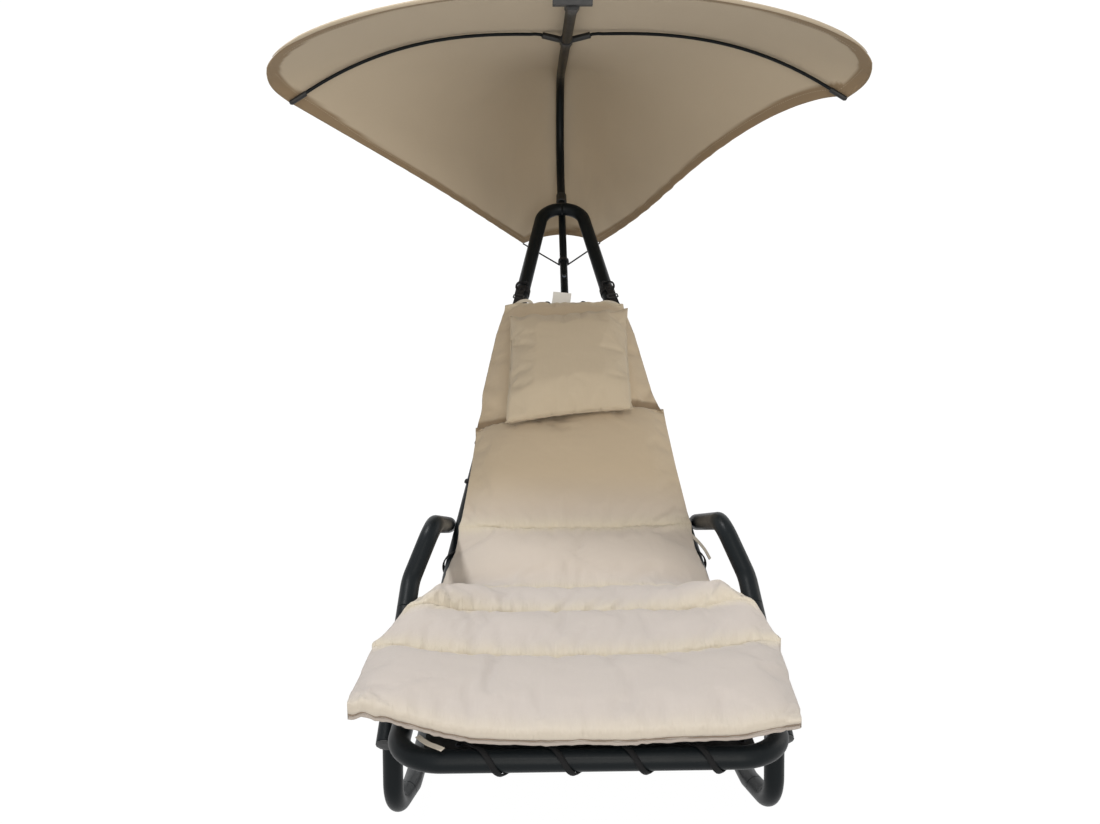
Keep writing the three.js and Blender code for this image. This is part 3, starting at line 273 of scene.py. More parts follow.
def bent(corners, step=math.radians(4)):
    """The line of a bent tube through (point, bend) corners, each rounded to its bend radius."""
    line = [corners[0][0]]
    for before, (corner, bend), after in zip(corners, corners[1:], corners[2:]):
        came, goes = (corner - before[0]).normalized(), (after[0] - corner).normalized()
        turn = came.angle(goes)
        if turn < 1e-4:
            continue
        inward = (goes - came * came.dot(goes)).normalized()
        start = corner - came * bend * math.tan(turn / 2)
        centre = start + inward * bend
        count = max(2, math.ceil(turn / step))
        for i in range(count + 1):
            a = turn * i / count
            line.append(centre - inward * bend * math.cos(a) + came * bend * math.sin(a))
    line.append(corners[-1][0])
    return line


def mirror(p):
    return Vector((-p.x, p.y, p.z))


def other_side(points):
    return [mirror(p) for p in points]


SIDES = (("right", list), ("left", other_side))


def run_at(line, i, closed=False):
    """The way a line runs at its point i."""
    if closed:
        return (line[(i + 1) % len(line)] - line[i - 1]).normalized()
    return (line[min(i + 1, len(line) - 1)] - line[max(i - 1, 0)]).normalized()


def ring_faces(count, sides, closed=False):
    """Faces between rings of points, and over both ends where the last ring doesn't meet the first."""
    faces = []
    for i in range(count if closed else count - 1):
        here, there = i * sides, (i + 1) % count * sides
        for k in range(sides):
            n = (k + 1) % sides
            faces.append((here + k, here + n, there + n, there + k))
    if not closed:
        faces += [tuple(reversed(range(sides))), tuple(range((count - 1) * sides, count * sides))]
    return faces


def placed(name, mesh, finish, body, slot, nodes=(), cut=None, flat_faces=()):
    """A mesh as a piece of a body, with its finish, cut pattern and the nodes it stands for; its slot argument
    is not used.
    """
    mesh.materials.append(finish.material)
    if cut:
        layer = mesh.uv_layers.new(name="cut")
        for loop in mesh.loops:
            layer.data[loop.index].uv = cut[loop.vertex_index]
    flat_faces = set(flat_faces)
    for face in mesh.polygons:
        face.use_smooth = face.index not in flat_faces
    made = bpy.data.objects.new(name, mesh)
    scene.collection.objects.link(made)
    return dress(made, body, nodes)


def mesh_piece(name, points, faces, *dressing, **more):
    """A piece made from points and faces; what follows them goes to placed."""
    mesh = bpy.data.meshes.new(name)
    mesh.from_pydata([tuple(p) for p in points], [], faces)
    return placed(name, mesh, *dressing, **more)


def dress(made, body, nodes=()):
    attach(made, body)
    if nodes:
        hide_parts(*nodes)
    return made


def swept(line, radius_at, sides, flatten=1.0, guide=None):
    """Points and faces of a round bar swept along a line; radius_at gives the radius at a point."""
    points, cut = [], []
    across, passed = guide or run_at(line, 0).orthogonal(), 0.0
    for i, p in enumerate(line):
        ahead = run_at(line, i)
        across = (across - ahead * across.dot(ahead)).normalized()
        up = ahead.cross(across)
        passed += (p - line[i - 1]).length if i else 0.0
        radius = radius_at(i) if callable(radius_at) else radius_at
        for k in range(sides):
            a = 2 * math.pi * k / sides
            points.append(p + across * radius * math.cos(a) + up * radius * flatten * math.sin(a))
            cut.append((passed, radius * a))
    return points, ring_faces(len(line), sides), cut


def tube(name, line, radius, nodes, body="lounger", sides=32, lip=0.0009):
    """A round steel tube along a line, with a small rolled lip at both of its cut ends."""
    first, last = (line[1] - line[0]).normalized(), (line[-1] - line[-2]).normalized()
    line = [
        line[0], line[0] + first * lip, line[0] + first * lip * 2.5, *line[1:-1],
        line[-1] - last * lip * 2.5, line[-1] - last * lip, line[-1],
    ]
    ends = {0, len(line) - 1}
    points, faces, cut = swept(line, lambda i: radius - (lip if i in ends else 0), sides)
    flat = (len(faces) - 2, len(faces) - 1)
    return mesh_piece(name, points, faces, powder_coat, body, "powder_coated_steel", nodes, cut, flat)


TUBE = 0.019
foot_seam, arch_seam = spot(301.2, 480, 333.9), spot(185.4, 1172.4, 731.2)
taper, knee, lumbar = spot(315, 330, 327.4), spot(288.4, 620, 340), spot(275.5, 760, 402)
rail_corner, arch_corner = spot(320, 0, 313), spot(55.7, 1765.8, 1204.9)
foot_line = bent([
    (foot_seam, 0), (taper, 0.4), (rail_corner, 0.078), (mirror(rail_corner), 0.078),
    (mirror(taper), 0.4), (mirror(foot_seam), 0),
])
tube("foot_hoop", foot_line, TUBE, ["foot_hoop_tube"])
side_line = bent([(foot_seam, 0), (knee, 0.26), (lumbar, 0.26), (arch_seam, 0)])
arch_line = bent([
    (arch_seam, 0), (arch_corner, 0.0659), (mirror(arch_corner), 0.0659), (mirror(arch_seam), 0),
])
tube("head_arch", arch_line, TUBE, ["head_arch_tube"])

# ---- Side frames ---------------------------------------------------------------------------
# On each side an armrest bends down into a side rail, bolted to the bed's tube; front leg,
# runner and rear leg make the rocker, and the rear leg's stub is welded under the back.
arm_line = bent([
    (spot(295, 881.8, 463.8), 0), (spot(297, 545, 560), 0.058), (spot(339.9, 477.8, 461.2), 0.08),
    (spot(344, 425, 418.5), 0),
])
rail_line = [spot(344, 425, 418.5), spot(361, 207, 242)]
front_leg_line = bent([
    (spot(356.2, 268, 291.4), 0), (spot(360.4, 268, 77.8), 0.07), (spot(347.4, 372.9, 61), 0),
])
rear_leg_line = bent([
    (spot(342, 1262, 48.3), 0), (spot(342, 1425, 69.7), 0.11), (spot(214.8, 1134.5, 614.7), 0),
])
stub_line = [spot(200.7, 1102.3, 675.2), spot(214.8, 1134.5, 614.7)]
ROCKER_LOWEST, ROCKER_RADIUS, ROCKER_FROM, ROCKER_TO = 858, 2800, 416, 1262


def on_rocker(y):
    """The runner's centre line, an arc that stands on the floor at its lowest point."""
    lean = math.asin((y - ROCKER_LOWEST) / ROCKER_RADIUS)
    return spot(342, y, 19 + ROCKER_RADIUS * (1 - math.cos(lean)))


runner_line = [spot(347.4, 372.9, 61)]
runner_line += [on_rocker(ROCKER_FROM + (ROCKER_TO - ROCKER_FROM) * i / 40) for i in range(41)]
for side, turned in SIDES:
    for name, line, node in (
        ("side_tube", side_line, "side_frame_tube"), ("armrest", arm_line, "armrest_tube"),
        ("side_rail", rail_line, "side_rail_tube"), ("front_leg", front_leg_line, "front_leg_tube"),
        ("runner", runner_line, "runner_tube"), ("rear_leg", rear_leg_line, "rear_leg_tube"),
        ("stub", stub_line, "rear_leg_stub"),
    ):
        tube(f"{name}_{side}", turned(line), TUBE, [f"{node}_{side}"])

# ---- Cross bars, stretchers and mast -------------------------------------------------------
# Thinner 25 mm bars: three bow down under the sling, a straight one carries the mast, and two
# stretchers hold the runners apart. The mast is the inner tube of the canopy pole.
BAR, MAST = 0.0125, 0.011
BOW_DOWN, BOW_SHARE, BOW_BEND = 0.046, 0.62, 0.096
straight_down, back_down = Vector((0, 0, -1)), Vector((0, 0.6239, -0.7815))
bar_ends = {
    "knee": (308.1, 405, 330.6), "seat": (275.2, 761.6, 403.2), "back": (171.8, 1234.4, 780.7),
    "head": (129, 1434.6, 932.2),
}
for part, down in (("knee", straight_down), ("seat", straight_down), ("back", back_down)):
    end = spot(*bar_ends[part])
    low = Vector((end.x * BOW_SHARE, end.y, end.z)) + down * BOW_DOWN
    line = bent([(end, 0), (low, BOW_BEND), (mirror(low), BOW_BEND), (mirror(end), 0)])
    tube(f"{part}_bar", line, BAR, [f"{part}_crossbar"], sides=24)
head_bar_line = [spot(*bar_ends["head"]), mirror(spot(*bar_ends["head"]))]
tube("head_bar", head_bar_line, BAR, ["head_crossbar"], sides=24)
for name, y, z in (("front", 560, 34.9), ("rear", 1100, 29.5)):
    tube(f"{name}_spreader", [spot(322.7, y, z), spot(-322.7, y, z)], BAR, [f"{name}_stretcher"], sides=24)
mast_foot, mast_top = spot(0, 1432.3, 899.9), spot(0, 1914.5, 1284.8)
tube("mast", [mast_foot, mast_top], MAST, ["mast_tube"], sides=24)


def off_line(p, line):
    """How far a point is from a line of points, measured to its straight parts."""
    best = 9.0
    for a, b in zip(line, line[1:]):
        run = b - a
        share = max(0.0, min(1.0, (p - a).dot(run) / run.length_squared))
        best = min(best, (p - a - run * share).length)
    return best


def outward(made):
    """Turns a closed mesh's faces outwards."""
    kit = bmesh.new()
    kit.from_mesh(made.data)
    bmesh.ops.recalc_face_normals(kit, faces=kit.faces)
    kit.to_mesh(made.data)
    kit.free()
    return made


BEAD_STEPS, BEAD_SIDES, BEAD, BEAD_WAVE, BEAD_LUMP, BEAD_OFF = 36, 8, 0.0021, 0.0005, 0.0003, 0.0004
MARCH_STEPS, MARCH_LEAST, MET = 60, 0.0002, 0.0001


def bead_round(name, start, heading, radius, line, tube_radius=TUBE):
    """The welded bead where a bar's end meets the side of a tube: a slightly lumpy ring."""
    across = heading.orthogonal().normalized()
    up, ring = heading.cross(across), []
    for k in range(BEAD_STEPS):
        a = 2 * math.pi * k / BEAD_STEPS
        p = start + (across * math.cos(a) + up * math.sin(a)) * (radius + BEAD_OFF)
        met, least = p, 1.0
        for _ in range(MARCH_STEPS):
            gap = off_line(p, line) - tube_radius
            if gap < least:
                met, least = p, gap
            if gap < MET or gap > least + 10 * MET:
                break
            p = p + heading * max(gap * 0.8, MARCH_LEAST)
        ring.append(met)
    middle = sum(ring, Vector()) / len(ring)
    points = []
    for k, p in enumerate(ring):
        ahead = run_at(ring, k, closed=True)
        out = (p - middle) - ahead * (p - middle).dot(ahead)
        out.normalize()
        side = ahead.cross(out)
        lump = BEAD_LUMP * noise.noise(Vector((k * 1.3, radius * 900, 2)))
        size = BEAD + BEAD_WAVE * math.sin(k * 2.9) + lump
        for n in range(BEAD_SIDES):
            b = 2 * math.pi * n / BEAD_SIDES
            points.append(p + out * size * math.cos(b) + side * size * math.sin(b))
    faces = ring_faces(BEAD_STEPS, BEAD_SIDES, closed=True)
    return outward(mesh_piece(name, points, faces, powder_coat, "lounger", "powder_coated_steel"))


BAR_IN = 60
arch_leg = arch_line[:2]
bar_welds = {"knee": [foot_seam, taper, rail_corner], "seat": side_line, "back": arch_leg, "head": arch_leg}
welds = []
for part, line in bar_welds.items():
    x, y, z = bar_ends[part]
    welds.append((part, spot(x - BAR_IN, y, z), Vector((1, 0, 0)), BAR, line))
leg_top, leg_bend = front_leg_line[:2]
welds.append(("leg", leg_bend.lerp(leg_top, 0.6), (leg_top - leg_bend).normalized(), TUBE, rail_line))
welds.append(("stub", stub_line[1], (stub_line[0] - stub_line[1]).normalized(), TUBE, side_line))
for side, turned in SIDES:
    for part, start, heading, radius, line in welds:
        start, heading = turned([start, heading])
        bead_round(f"{part}_weld_{side}", start, heading, radius, turned(line))
mast_start, mast_way = mast_foot.lerp(mast_top, 0.2), (mast_foot - mast_top).normalized()
bead_round("mast_weld", mast_start, mast_way, MAST, head_bar_line, BAR)

# ---- Moulded plastic and fasteners ---------------------------------------------------------
# Black moulded caps close the open tube ends; zinc plated bolts hold the armrests and the rails,
# and screws hold the stretchers and the mast. They keep their CAD shapes.
moulding = Finish("black_moulding", IOR=1.49)
moulding.feed(
    Base_Color=moulding.mix(moulding.grain(30, 3), srgb(22, 23, 24), srgb(31, 32, 33)),
    Roughness=moulding.grain(90, 3) * 0.2 + 0.42,
    Normal=moulding.relief(moulding.grain(1500, 2), 0.00008),
)
zinc = Finish("bolt_steel", Metallic=0.85)
zinc.feed(
    Base_Color=zinc.mix(zinc.grain(160, 3), srgb(66, 72, 80), srgb(92, 99, 108)),
    Roughness=zinc.grain(400, 3, 0.6, (1, 1, 6)) * 0.25 + 0.26,
    Normal=zinc.relief(zinc.grain(900, 2), 0.00005),
)


WASHER, WASHER_BORE, WASHER_THICK, WASHER_STEPS = 0.0088, 0.0042, 0.0012, 28


def washer(name, at):
    """A pressed washer, lying square to the tube under a bolt's head."""
    rings = [
        (0.0, WASHER_BORE), (0.0, WASHER), (WASHER_THICK * 0.7, WASHER),
        (WASHER_THICK, WASHER - WASHER_THICK * 0.5), (WASHER_THICK, WASHER_BORE),
    ]
    points = []
    for k in range(WASHER_STEPS):
        a = 2 * math.pi * k / WASHER_STEPS
        for out, size in rings:
            points.append(at + Vector((math.copysign(out, at.x), math.cos(a) * size, math.sin(a) * size)))
    faces = ring_faces(WASHER_STEPS, len(rings), closed=True)
    flat = range(len(faces))
    return outward(mesh_piece(name, points, faces, zinc, "lounger", "bolt_metal", flat_faces=flat))


for side, flip in (("right", 1), ("left", -1)):
    for part, tube_face in (("armrest", 0.3154), ("side_rail", 0.3719)):
        low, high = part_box(f"{part}_bolt_{side}")
        at = Vector((flip * tube_face, (low[1] + high[1]) / 2, (low[2] + high[2]) / 2))
        washer(f"{part}_washer_{side}", at)

# ---- Sling and its lacing ------------------------------------------------------------------
# A black sling of coarse coated mesh hangs inside the frame, its rows of eyelets laced to the
# tubes with flat elastic. A bed line gives every soft piece its place.
bed_line = bent([
    (spot(0, 0, 313), 0), (spot(0, 620, 340), 0.26), (spot(0, 760, 402), 0.26),
    (spot(0, 1765.817, 1204.933), 0),
], math.radians(0.5))
bed_stops = [0.0]
for one, other in zip(bed_line, bed_line[1:]):
    bed_stops.append(bed_stops[-1] + (other - one).length)


def on_bed(s, x=0.0, up=0.0):
    """The point s millimetres along the bed from the foot rail, x across and up off its line."""
    s /= 1000
    last = len(bed_line) - 1
    i = max(1, min(last, next((k for k, stop in enumerate(bed_stops) if stop >= s), last)))
    lean = ahead = (bed_line[i] - bed_line[i - 1]).normalized()
    if 1 < i < last:
        share = (s - bed_stops[i - 1]) / (bed_stops[i] - bed_stops[i - 1])
        later = (bed_line[i + 1] - bed_line[i]).normalized()
        earlier = (bed_line[i - 1] - bed_line[i - 2]).normalized()
        lean = (earlier + ahead).lerp(ahead + later, share).normalized()
    here = bed_line[i - 1] + ahead * (s - bed_stops[i - 1])
    return here + Vector((x, 0, 0)) / 1000 + Vector((0, -lean.z, lean.y)) * up / 1000


def steps_between(stops, s):
    """The value at s on a line of (place, value) stops."""
    for (a, low), (b, high) in zip(stops, stops[1:]):
        if s <= b:
            return low + (high - low) * max(0.0, (s - a) / (b - a))
    return stops[-1][1]


def tube_half(s):
    """Half the distance between the side tubes' centre lines, s millimetres along the bed."""
    return steps_between([(0, 320), (330, 315), (772.2, 275.5), (2059.2, 55.7)], s)


def smooth(t):
    """0 to 1 with soft ends."""
    t = max(0.0, min(1.0, t))
    return t * t * (3 - 2 * t)


def case(top, under):
    """Points and faces of a closed slab between two grids of points."""
    rows, columns = len(top), len(top[0])
    points = [p for grid in (top, under) for line in grid for p in line]
    below = rows * columns
    faces = []
    for i in range(rows - 1):
        for j in range(columns - 1):
            a, b = i * columns + j, (i + 1) * columns + j
            faces.append((a, a + 1, b + 1, b))
            faces.append((below + a, below + b, below + b + 1, below + a + 1))
    for i in range(rows - 1):
        for j, turned in ((0, False), (columns - 1, True)):
            a, b = i * columns + j, (i + 1) * columns + j
            ring = (a, b, below + b, below + a)
            faces.append(tuple(reversed(ring)) if turned else ring)
    for j in range(columns - 1):
        for i, turned in ((0, True), (rows - 1, False)):
            a = i * columns + j
            ring = (a, a + 1, below + a + 1, below + a)
            faces.append(tuple(reversed(ring)) if turned else ring)
    return points, faces


mesh_cloth = Finish("sling_mesh", IOR=1.5)
warp, weft = mesh_cloth.along(0) * (2 * math.pi / 0.0034), mesh_cloth.along(1) * (2 * math.pi / 0.0030)
weave = warp.sine() * weft.sine() * 0.5 + 0.5
mesh_cloth.feed(
    Base_Color=mesh_cloth.mix(weave * 0.6 + mesh_cloth.grain(20, 3) * 0.4, srgb(17, 18, 19), srgb(40, 41, 42)),
    Roughness=weave * 0.2 + 0.55,
    Normal=mesh_cloth.relief(weave, 0.0006),
)
INSET, HEAD_INSET, EYELET_IN, HEAD_BAR_AT = 44, 24, 9, 1630.19
SLING_HEM, HEM_EXTRA, SLING_SAG, SLING_HALF_THICK, FOOT_FLAP = 17, 0.5, 7, 0.6, 13
sling_from, sling_to = INSET - FOOT_FLAP, HEAD_BAR_AT - HEAD_INSET
sling_rows, sling_columns = 150, 48
side_eyelets = [[90, 202], [344, 466, 588, 710, 832], [954, 1076, 1198, 1320, 1442, 1564]]
rail_eyelets = [-217, -99, 19, 137, 255]
head_eyelets = [[-70, -22], [22, 70]]


def sling_grid(up):
    """One face of the sling, up millimetres off its middle: it sags, and its hems are thicker."""
    grid = []
    for i in range(sling_rows + 1):
        t = i / sling_rows
        s = sling_from + (sling_to - sling_from) * t
        half = tube_half(s) - INSET
        line = []
        for j in range(sling_columns + 1):
            v = 2 * j / sling_columns - 1
            sag = SLING_SAG * (1 - v * v) * min(1.0, 6 * t, 6 * (1 - t))
            to_edge = min(half * (1 - abs(v)), s - sling_from, sling_to - s)
            hem = HEM_EXTRA if to_edge < SLING_HEM else 0.0
            line.append(on_bed(s, v * half, (up + math.copysign(hem, up)) - sag))
        grid.append(line)
    return grid


points, faces = case(sling_grid(SLING_HALF_THICK), sling_grid(-SLING_HALF_THICK))
per_row, row_pitch = sling_columns + 1, 0.0104
cut = [(p.x, i % ((sling_rows + 1) * per_row) // per_row * row_pitch) for i, p in enumerate(points)]
sling = outward(mesh_piece("sling_cloth", points, faces, mesh_cloth, "lounger", "sling_mesh", ["sling"], cut))
side_places = [(s, tube_half(s) - INSET - EYELET_IN) for run in side_eyelets for s in run]
eyelet_places = [(s, side * x) for s, x in side_places for side in (1, -1)]
eyelet_places += [(INSET + EYELET_IN, x) for x in rail_eyelets]
eyelet_places += [(sling_to - EYELET_IN, x) for run in head_eyelets for x in run]


def scattered(name, spots, size_name, size, mesh_builder, finish, body):
    """Geometry Nodes put one small part on every spot, turned to its normal."""
    seed = bpy.data.meshes.new(name + "_spots")
    seed.from_pydata([tuple(p) for p, _, _ in spots], [], [])
    for label, pick in (("facing", 1), ("heading", 2)):
        layer = seed.attributes.new(label, "FLOAT_VECTOR", "POINT")
        for i, row in enumerate(spots):
            layer.data[i].vector = row[pick]
    made = bpy.data.objects.new(name, seed)
    scene.collection.objects.link(made)
    tree = bpy.data.node_groups.new(name, "GeometryNodeTree")
    tree.interface.new_socket("Geometry", in_out="INPUT", socket_type="NodeSocketGeometry")
    size_in = tree.interface.new_socket(size_name, in_out="INPUT", socket_type="NodeSocketFloat")
    tree.interface.new_socket("Geometry", in_out="OUTPUT", socket_type="NodeSocketGeometry")
    node = tree.nodes.new
    link = tree.links.new
    entry, leave = node("NodeGroupInput"), node("NodeGroupOutput")
    part, put = mesh_builder(tree, entry.outputs[1]), node("GeometryNodeInstanceOnPoints")
    real, coat = node("GeometryNodeRealizeInstances"), node("GeometryNodeSetMaterial")
    turn_up, turn_on = node("FunctionNodeAlignRotationToVector"), node("FunctionNodeAlignRotationToVector")
    turn_up.axis, turn_on.axis, turn_on.pivot_axis = "Z", "X", "Z"
    for label, turn in (("facing", turn_up), ("heading", turn_on)):
        read = node("GeometryNodeInputNamedAttribute")
        read.data_type = "FLOAT_VECTOR"
        read.inputs["Name"].default_value = label
        link(read.outputs[0], turn.inputs["Vector"])
    link(turn_up.outputs[0], turn_on.inputs["Rotation"])
    coat.inputs["Material"].default_value = finish.material
    link(entry.outputs[0], put.inputs["Points"])
    link(part, put.inputs["Instance"])
    link(turn_on.outputs[0], put.inputs["Rotation"])
    link(put.outputs[0], real.inputs[0])
    link(real.outputs[0], coat.inputs["Geometry"])
    link(coat.outputs[0], leave.inputs[0])
    rig = made.modifiers.new("parts", "NODES")
    rig.node_group = tree
    rig[size_in.identifier] = size
    ready = bpy.data.meshes.new_from_object(made.evaluated_get(bpy.context.evaluated_depsgraph_get()))
    made.modifiers.remove(rig)
    made.data = ready
    ready.materials.clear()
    ready.materials.append(finish.material)
    for face in ready.polygons:
        face.use_smooth = True
    return dress(made, body)


def ring_part(tree, size):
    """A pressed eyelet: a small ring swept round a circle."""
    circle, section = [tree.nodes.new("GeometryNodeCurvePrimitiveCircle") for _ in range(2)]
    circle.inputs["Resolution"].default_value, section.inputs["Resolution"].default_value = 20, 8
    section.inputs["Radius"].default_value = EYELET_ROLL
    solid = tree.nodes.new("GeometryNodeCurveToMesh")
    tree.links.new(size, circle.inputs["Radius"])
    tree.links.new(circle.outputs[0], solid.inputs["Curve"])
    tree.links.new(section.outputs[0], solid.inputs["Profile Curve"])
    return solid.outputs[0]


EYELET, EYELET_ROLL = 0.0052, 0.0013
eyelet_spots = []
for s, x in eyelet_places:
    here, there = on_bed(s, x, 0), on_bed(s + 4, x, 0)
    ahead = (there - here).normalized()
    eyelet_spots.append((here, Vector((0, -ahead.z, ahead.y)), ahead))
scattered("sling_eyelets", eyelet_spots, "Radius", EYELET, ring_part, zinc, "lounger")

bungee = Finish("elastic_cord", IOR=1.42, Specular_IOR_Level=0.25)
turns, runs = bungee.along(1) * 2200, bungee.along(0) * 1500
braid = (turns + runs).sine() * (turns - runs).sine() * 0.5 + 0.5
bungee.feed(
    Base_Color=bungee.mix(braid, srgb(11, 11, 12), srgb(25, 26, 28)),
    Roughness=braid * 0.15 + 0.6,
    Normal=bungee.relief(braid, 0.0003),
)


def flowing(points, steps=4):
    """A smooth line through points."""
    ends = [points[0] * 2 - points[1], *points, points[-1] * 2 - points[-2]]
    line = []
    for a, b, c, d in zip(ends, ends[1:], ends[2:], ends[3:]):
        bend, twist = 2 * a - 5 * b + 4 * c - d, 3 * b - a - 3 * c + d
        for k in range(steps):
            t = k / steps
            line.append(0.5 * ((2 * b) + (c - a) * t + bend * t ** 2 + twist * t ** 3))
    line.append(points[-1])
    return line


LACE_HALF_WIDTH, LACE_HALF_THICK, LACE_SIDES, LACE_OFF, LACE_SLACK = 0.0058, 0.002, 12, 3.25, 7
lace_turns = [(0.25, 60), (0.35, 105), (0.45, 150), (0.53, 195), (0.62, 240), (0.7, 285), (0.75, 300)]


def lace_route(runs, place, radius, reach):
    """From eyelet to eyelet, each time once round the tube."""
    points, slack, near = [], LACE_SLACK, 0.05
    ring_away = (radius + LACE_OFF) / math.cos(math.radians(12))
    for k, eyelets in enumerate(runs):
        sense = 1 if k % 2 == 0 else -1
        points.append(place(eyelets[0], reach - slack / 2, sense * -slack))
        for start, to in zip(eyelets, eyelets[1:]):
            pitch = to - start
            points.append(place(start, reach, 0))
            points.append(place(start + near * pitch, reach - slack / 2, sense * slack))
            for share, degrees in lace_turns:
                turn = math.radians(degrees)
                away, up = ring_away * math.cos(turn), sense * ring_away * math.sin(turn)
                points.append(place(start + share * pitch, away, up))
            points.append(place(to - near * pitch, reach - slack / 2, sense * -slack))
        points.append(place(eyelets[-1], reach, 0))
        points.append(place(eyelets[-1], reach - slack / 2, sense * slack))
    return flowing(points, 3)


def lace(name, line, node):
    """A flat elastic band, laid with its broad side on the tube."""
    points, cut = [], []
    passed, broad, last = 0.0, None, len(line) - 1
    for i, p in enumerate(line):
        ahead = run_at(line, i)
        bend = line[min(i + 3, last)] + line[max(i - 3, 0)] - p * 2
        lift = bend - ahead * bend.dot(ahead)
        if lift.length <= 1e-7:
            broad = Vector((0, 0, 1))
        elif broad is None:
            broad = lift.normalized()
        else:
            broad = (lift.normalized() * 0.5 + broad * (1 if lift.dot(broad) > 0 else -1)).normalized()
        over = ahead.cross(broad)
        passed += (p - line[i - 1]).length if i else 0.0
        for k in range(LACE_SIDES):
            a = 2 * math.pi * k / LACE_SIDES
            points.append(p + over * LACE_HALF_WIDTH * math.cos(a) + broad * LACE_HALF_THICK * math.sin(a))
            cut.append((passed, LACE_HALF_WIDTH * a))
    faces = ring_faces(len(line), LACE_SIDES)
    return mesh_piece(name, points, faces, bungee, "lounger", "elastic_cord", [node], cut)


def beside_tube(s, inward, up):
    return on_bed(s, tube_half(s) - inward, up)


def behind_rail(x, inward, up):
    return on_bed(inward, x, up)


def before_head_bar(x, inward, up):
    """The head bar lies lower than the sling, so the lace drops to it."""
    return on_bed(HEAD_BAR_AT - inward, x, up - (0 if inward > HEAD_INSET else 6.5))


side_lace = lace_route(side_eyelets, beside_tube, TUBE * 1000, INSET + EYELET_IN)
lace("side_lace_right", side_lace, "lacing_right")
lace("side_lace_left", other_side(side_lace), "lacing_left")
lace("foot_lace", lace_route([rail_eyelets], behind_rail, TUBE * 1000, INSET + EYELET_IN), "lacing_foot")
head_lace = lace_route(head_eyelets, before_head_bar, BAR * 1000, HEAD_INSET + EYELET_IN - 1.15)
lace("head_lace", head_lace, "lacing_head")

# ---- Cushion -------------------------------------------------------------------------------
# A long case of plain woven polyester in natural beige, stuffed with fibre fill and sewn across
# into six channels; the fabric gathers at each seam, and the upper part folds over the lower.
CUSHION_UNDER = 27.4
channel_seams = [-15, 268, 472, 600, 835, 1165, 1588]
cushion_halves = [
    (-15, 342), (4, 354), (30, 361), (120, 366), (250, 372), (280, 370), (330, 352), (360, 336), (386, 323),
    (406, 315), (420, 311), (470, 311), (560, 302), (610, 299), (700, 285), (774, 270), (838, 265),
    (1017, 245), (1165, 232), (1210, 222), (1470, 184), (1588, 158),
]
edge_rise = [
    (-440, 0.36), (-300, 0.36), (-150, 0.42), (-88, 0.66), (-54, 0.92), (-32, 1), (0, 0.96), (16, 0.8),
    (44, 0.36), (74, 0.1), (110, 0),
]


def cloth_finish(name, light, dark, weave_pitch=0.00125, deep=0.00018):
    """Plain weave with slubs; it gathers at seams, where painted bounce light makes it lighter and warmer, and
    painted shade makes it deeper up the back and dark brown in the fold.
    """
    made = Finish(name, IOR=1.45, Sheen_Weight=0.22, Sheen_Roughness=0.5)
    turns = 2 * math.pi / weave_pitch
    threads = (made.along(0) * turns).sine() * (made.along(1) * turns).sine() * 0.5 + 0.5
    slub = made.grain(260, 3, 0.6, (1, 0.15, 0.15))
    cloud = made.grain(5, 3, 0.5)
    seam = made.mask("seam")
    tone = made.mix(cloud * 0.5 + slub * 0.3 + threads * 0.2, light, dark)
    # Painted shade: a warmer, deeper tone up the back, where the canopy shades the cushion.
    tone = made.mix(made.mask("shaded"), tone, srgb(203, 187, 162))
    # Painted bounce light: lighter and warmer in the seam valleys.
    tone = made.mix(seam * 0.7, tone, srgb(218, 209, 188))
    # Painted shade: dark brown where the upper panel folds over the lower, for the shadow in the fold.
    tone = made.mix(made.mask("painted_fold_shade") * 0.75, tone, srgb(112, 90, 64))
    gathers = made.grain(52, 3, 0.6, (1, 0.2, 0.2)) * seam
    folds = made.relief(gathers + made.grain(11, 3, 0.6) * 0.5, 0.008)
    made.feed(
        Base_Color=tone,
        Roughness=slub * 0.1 + 0.78,
        Normal=made.relief(threads * 0.6 + slub * 0.4, deep, folds),
    )
    return made


cushion_cloth = cloth_finish("cushion_weave", srgb(202, 195, 191), srgb(193, 186, 180))


def stuffed(made, held, pressure, growth, cap, frames=20):
    """Swells a sewn case with its filling: cloth under pressure, held at its seams."""
    still = [v.co.copy() for v in made.data.vertices]
    group = made.vertex_groups.new(name="held")
    for i, weight in enumerate(held):
        if weight > 0:
            group.add([i], weight, "REPLACE")
    rig = made.modifiers.new("stuffing", "CLOTH")
    for setting, value in {
        "vertex_group_mass": "held", "pin_stiffness": 1.0, "quality": 5, "mass": 0.25,
        "tension_stiffness": 18, "compression_stiffness": 18, "shear_stiffness": 6, "bending_stiffness": 0.4,
        "shrink_min": -growth, "use_pressure": True, "uniform_pressure_force": pressure,
    }.items():
        setattr(rig.settings, setting, value)
    rig.settings.effector_weights.gravity = 0
    rig.point_cache.frame_start, rig.point_cache.frame_end = 1, frames
    for step in range(1, frames + 1):
        scene.frame_set(step)
    swollen = made.evaluated_get(bpy.context.evaluated_depsgraph_get()).to_mesh()
    moved = [v.co.copy() for v in swollen.vertices]
    made.modifiers.remove(rig)
    made.vertex_groups.remove(group)
    scene.frame_set(1)
    for vertex, old, new in zip(made.data.vertices, still, moved):
        step = new - old
        if step.length > cap:
            step *= cap / step.length
        vertex.co = old + step


def mark(made, name, values):
    """Writes one value for each point of a piece, for its finish to read."""
    made.data.attributes.new(name, "FLOAT", "POINT").data.foreach_set("value", values)


def seam_place(k, v):
    """Where seam k runs at a share v across: pushed forward at the sides by the armrests' feet."""
    side = abs(v) ** 2.6
    front_bow = 30 * side if v < 0 else 3 * side + 15 * side ** 4
    bow = {0: front_bow, 1: 6 * side, 2: -102 * side, 3: -188 * side, 4: 14 * side}.get(k, 0)
    climb = 27 * v + 8 * math.sin(3.1 * v + 0.6) if k == 5 else 0
    return channel_seams[k] + bow + climb + 3.0 * noise.noise(Vector((v * 5, k * 7.3, 0.5)))


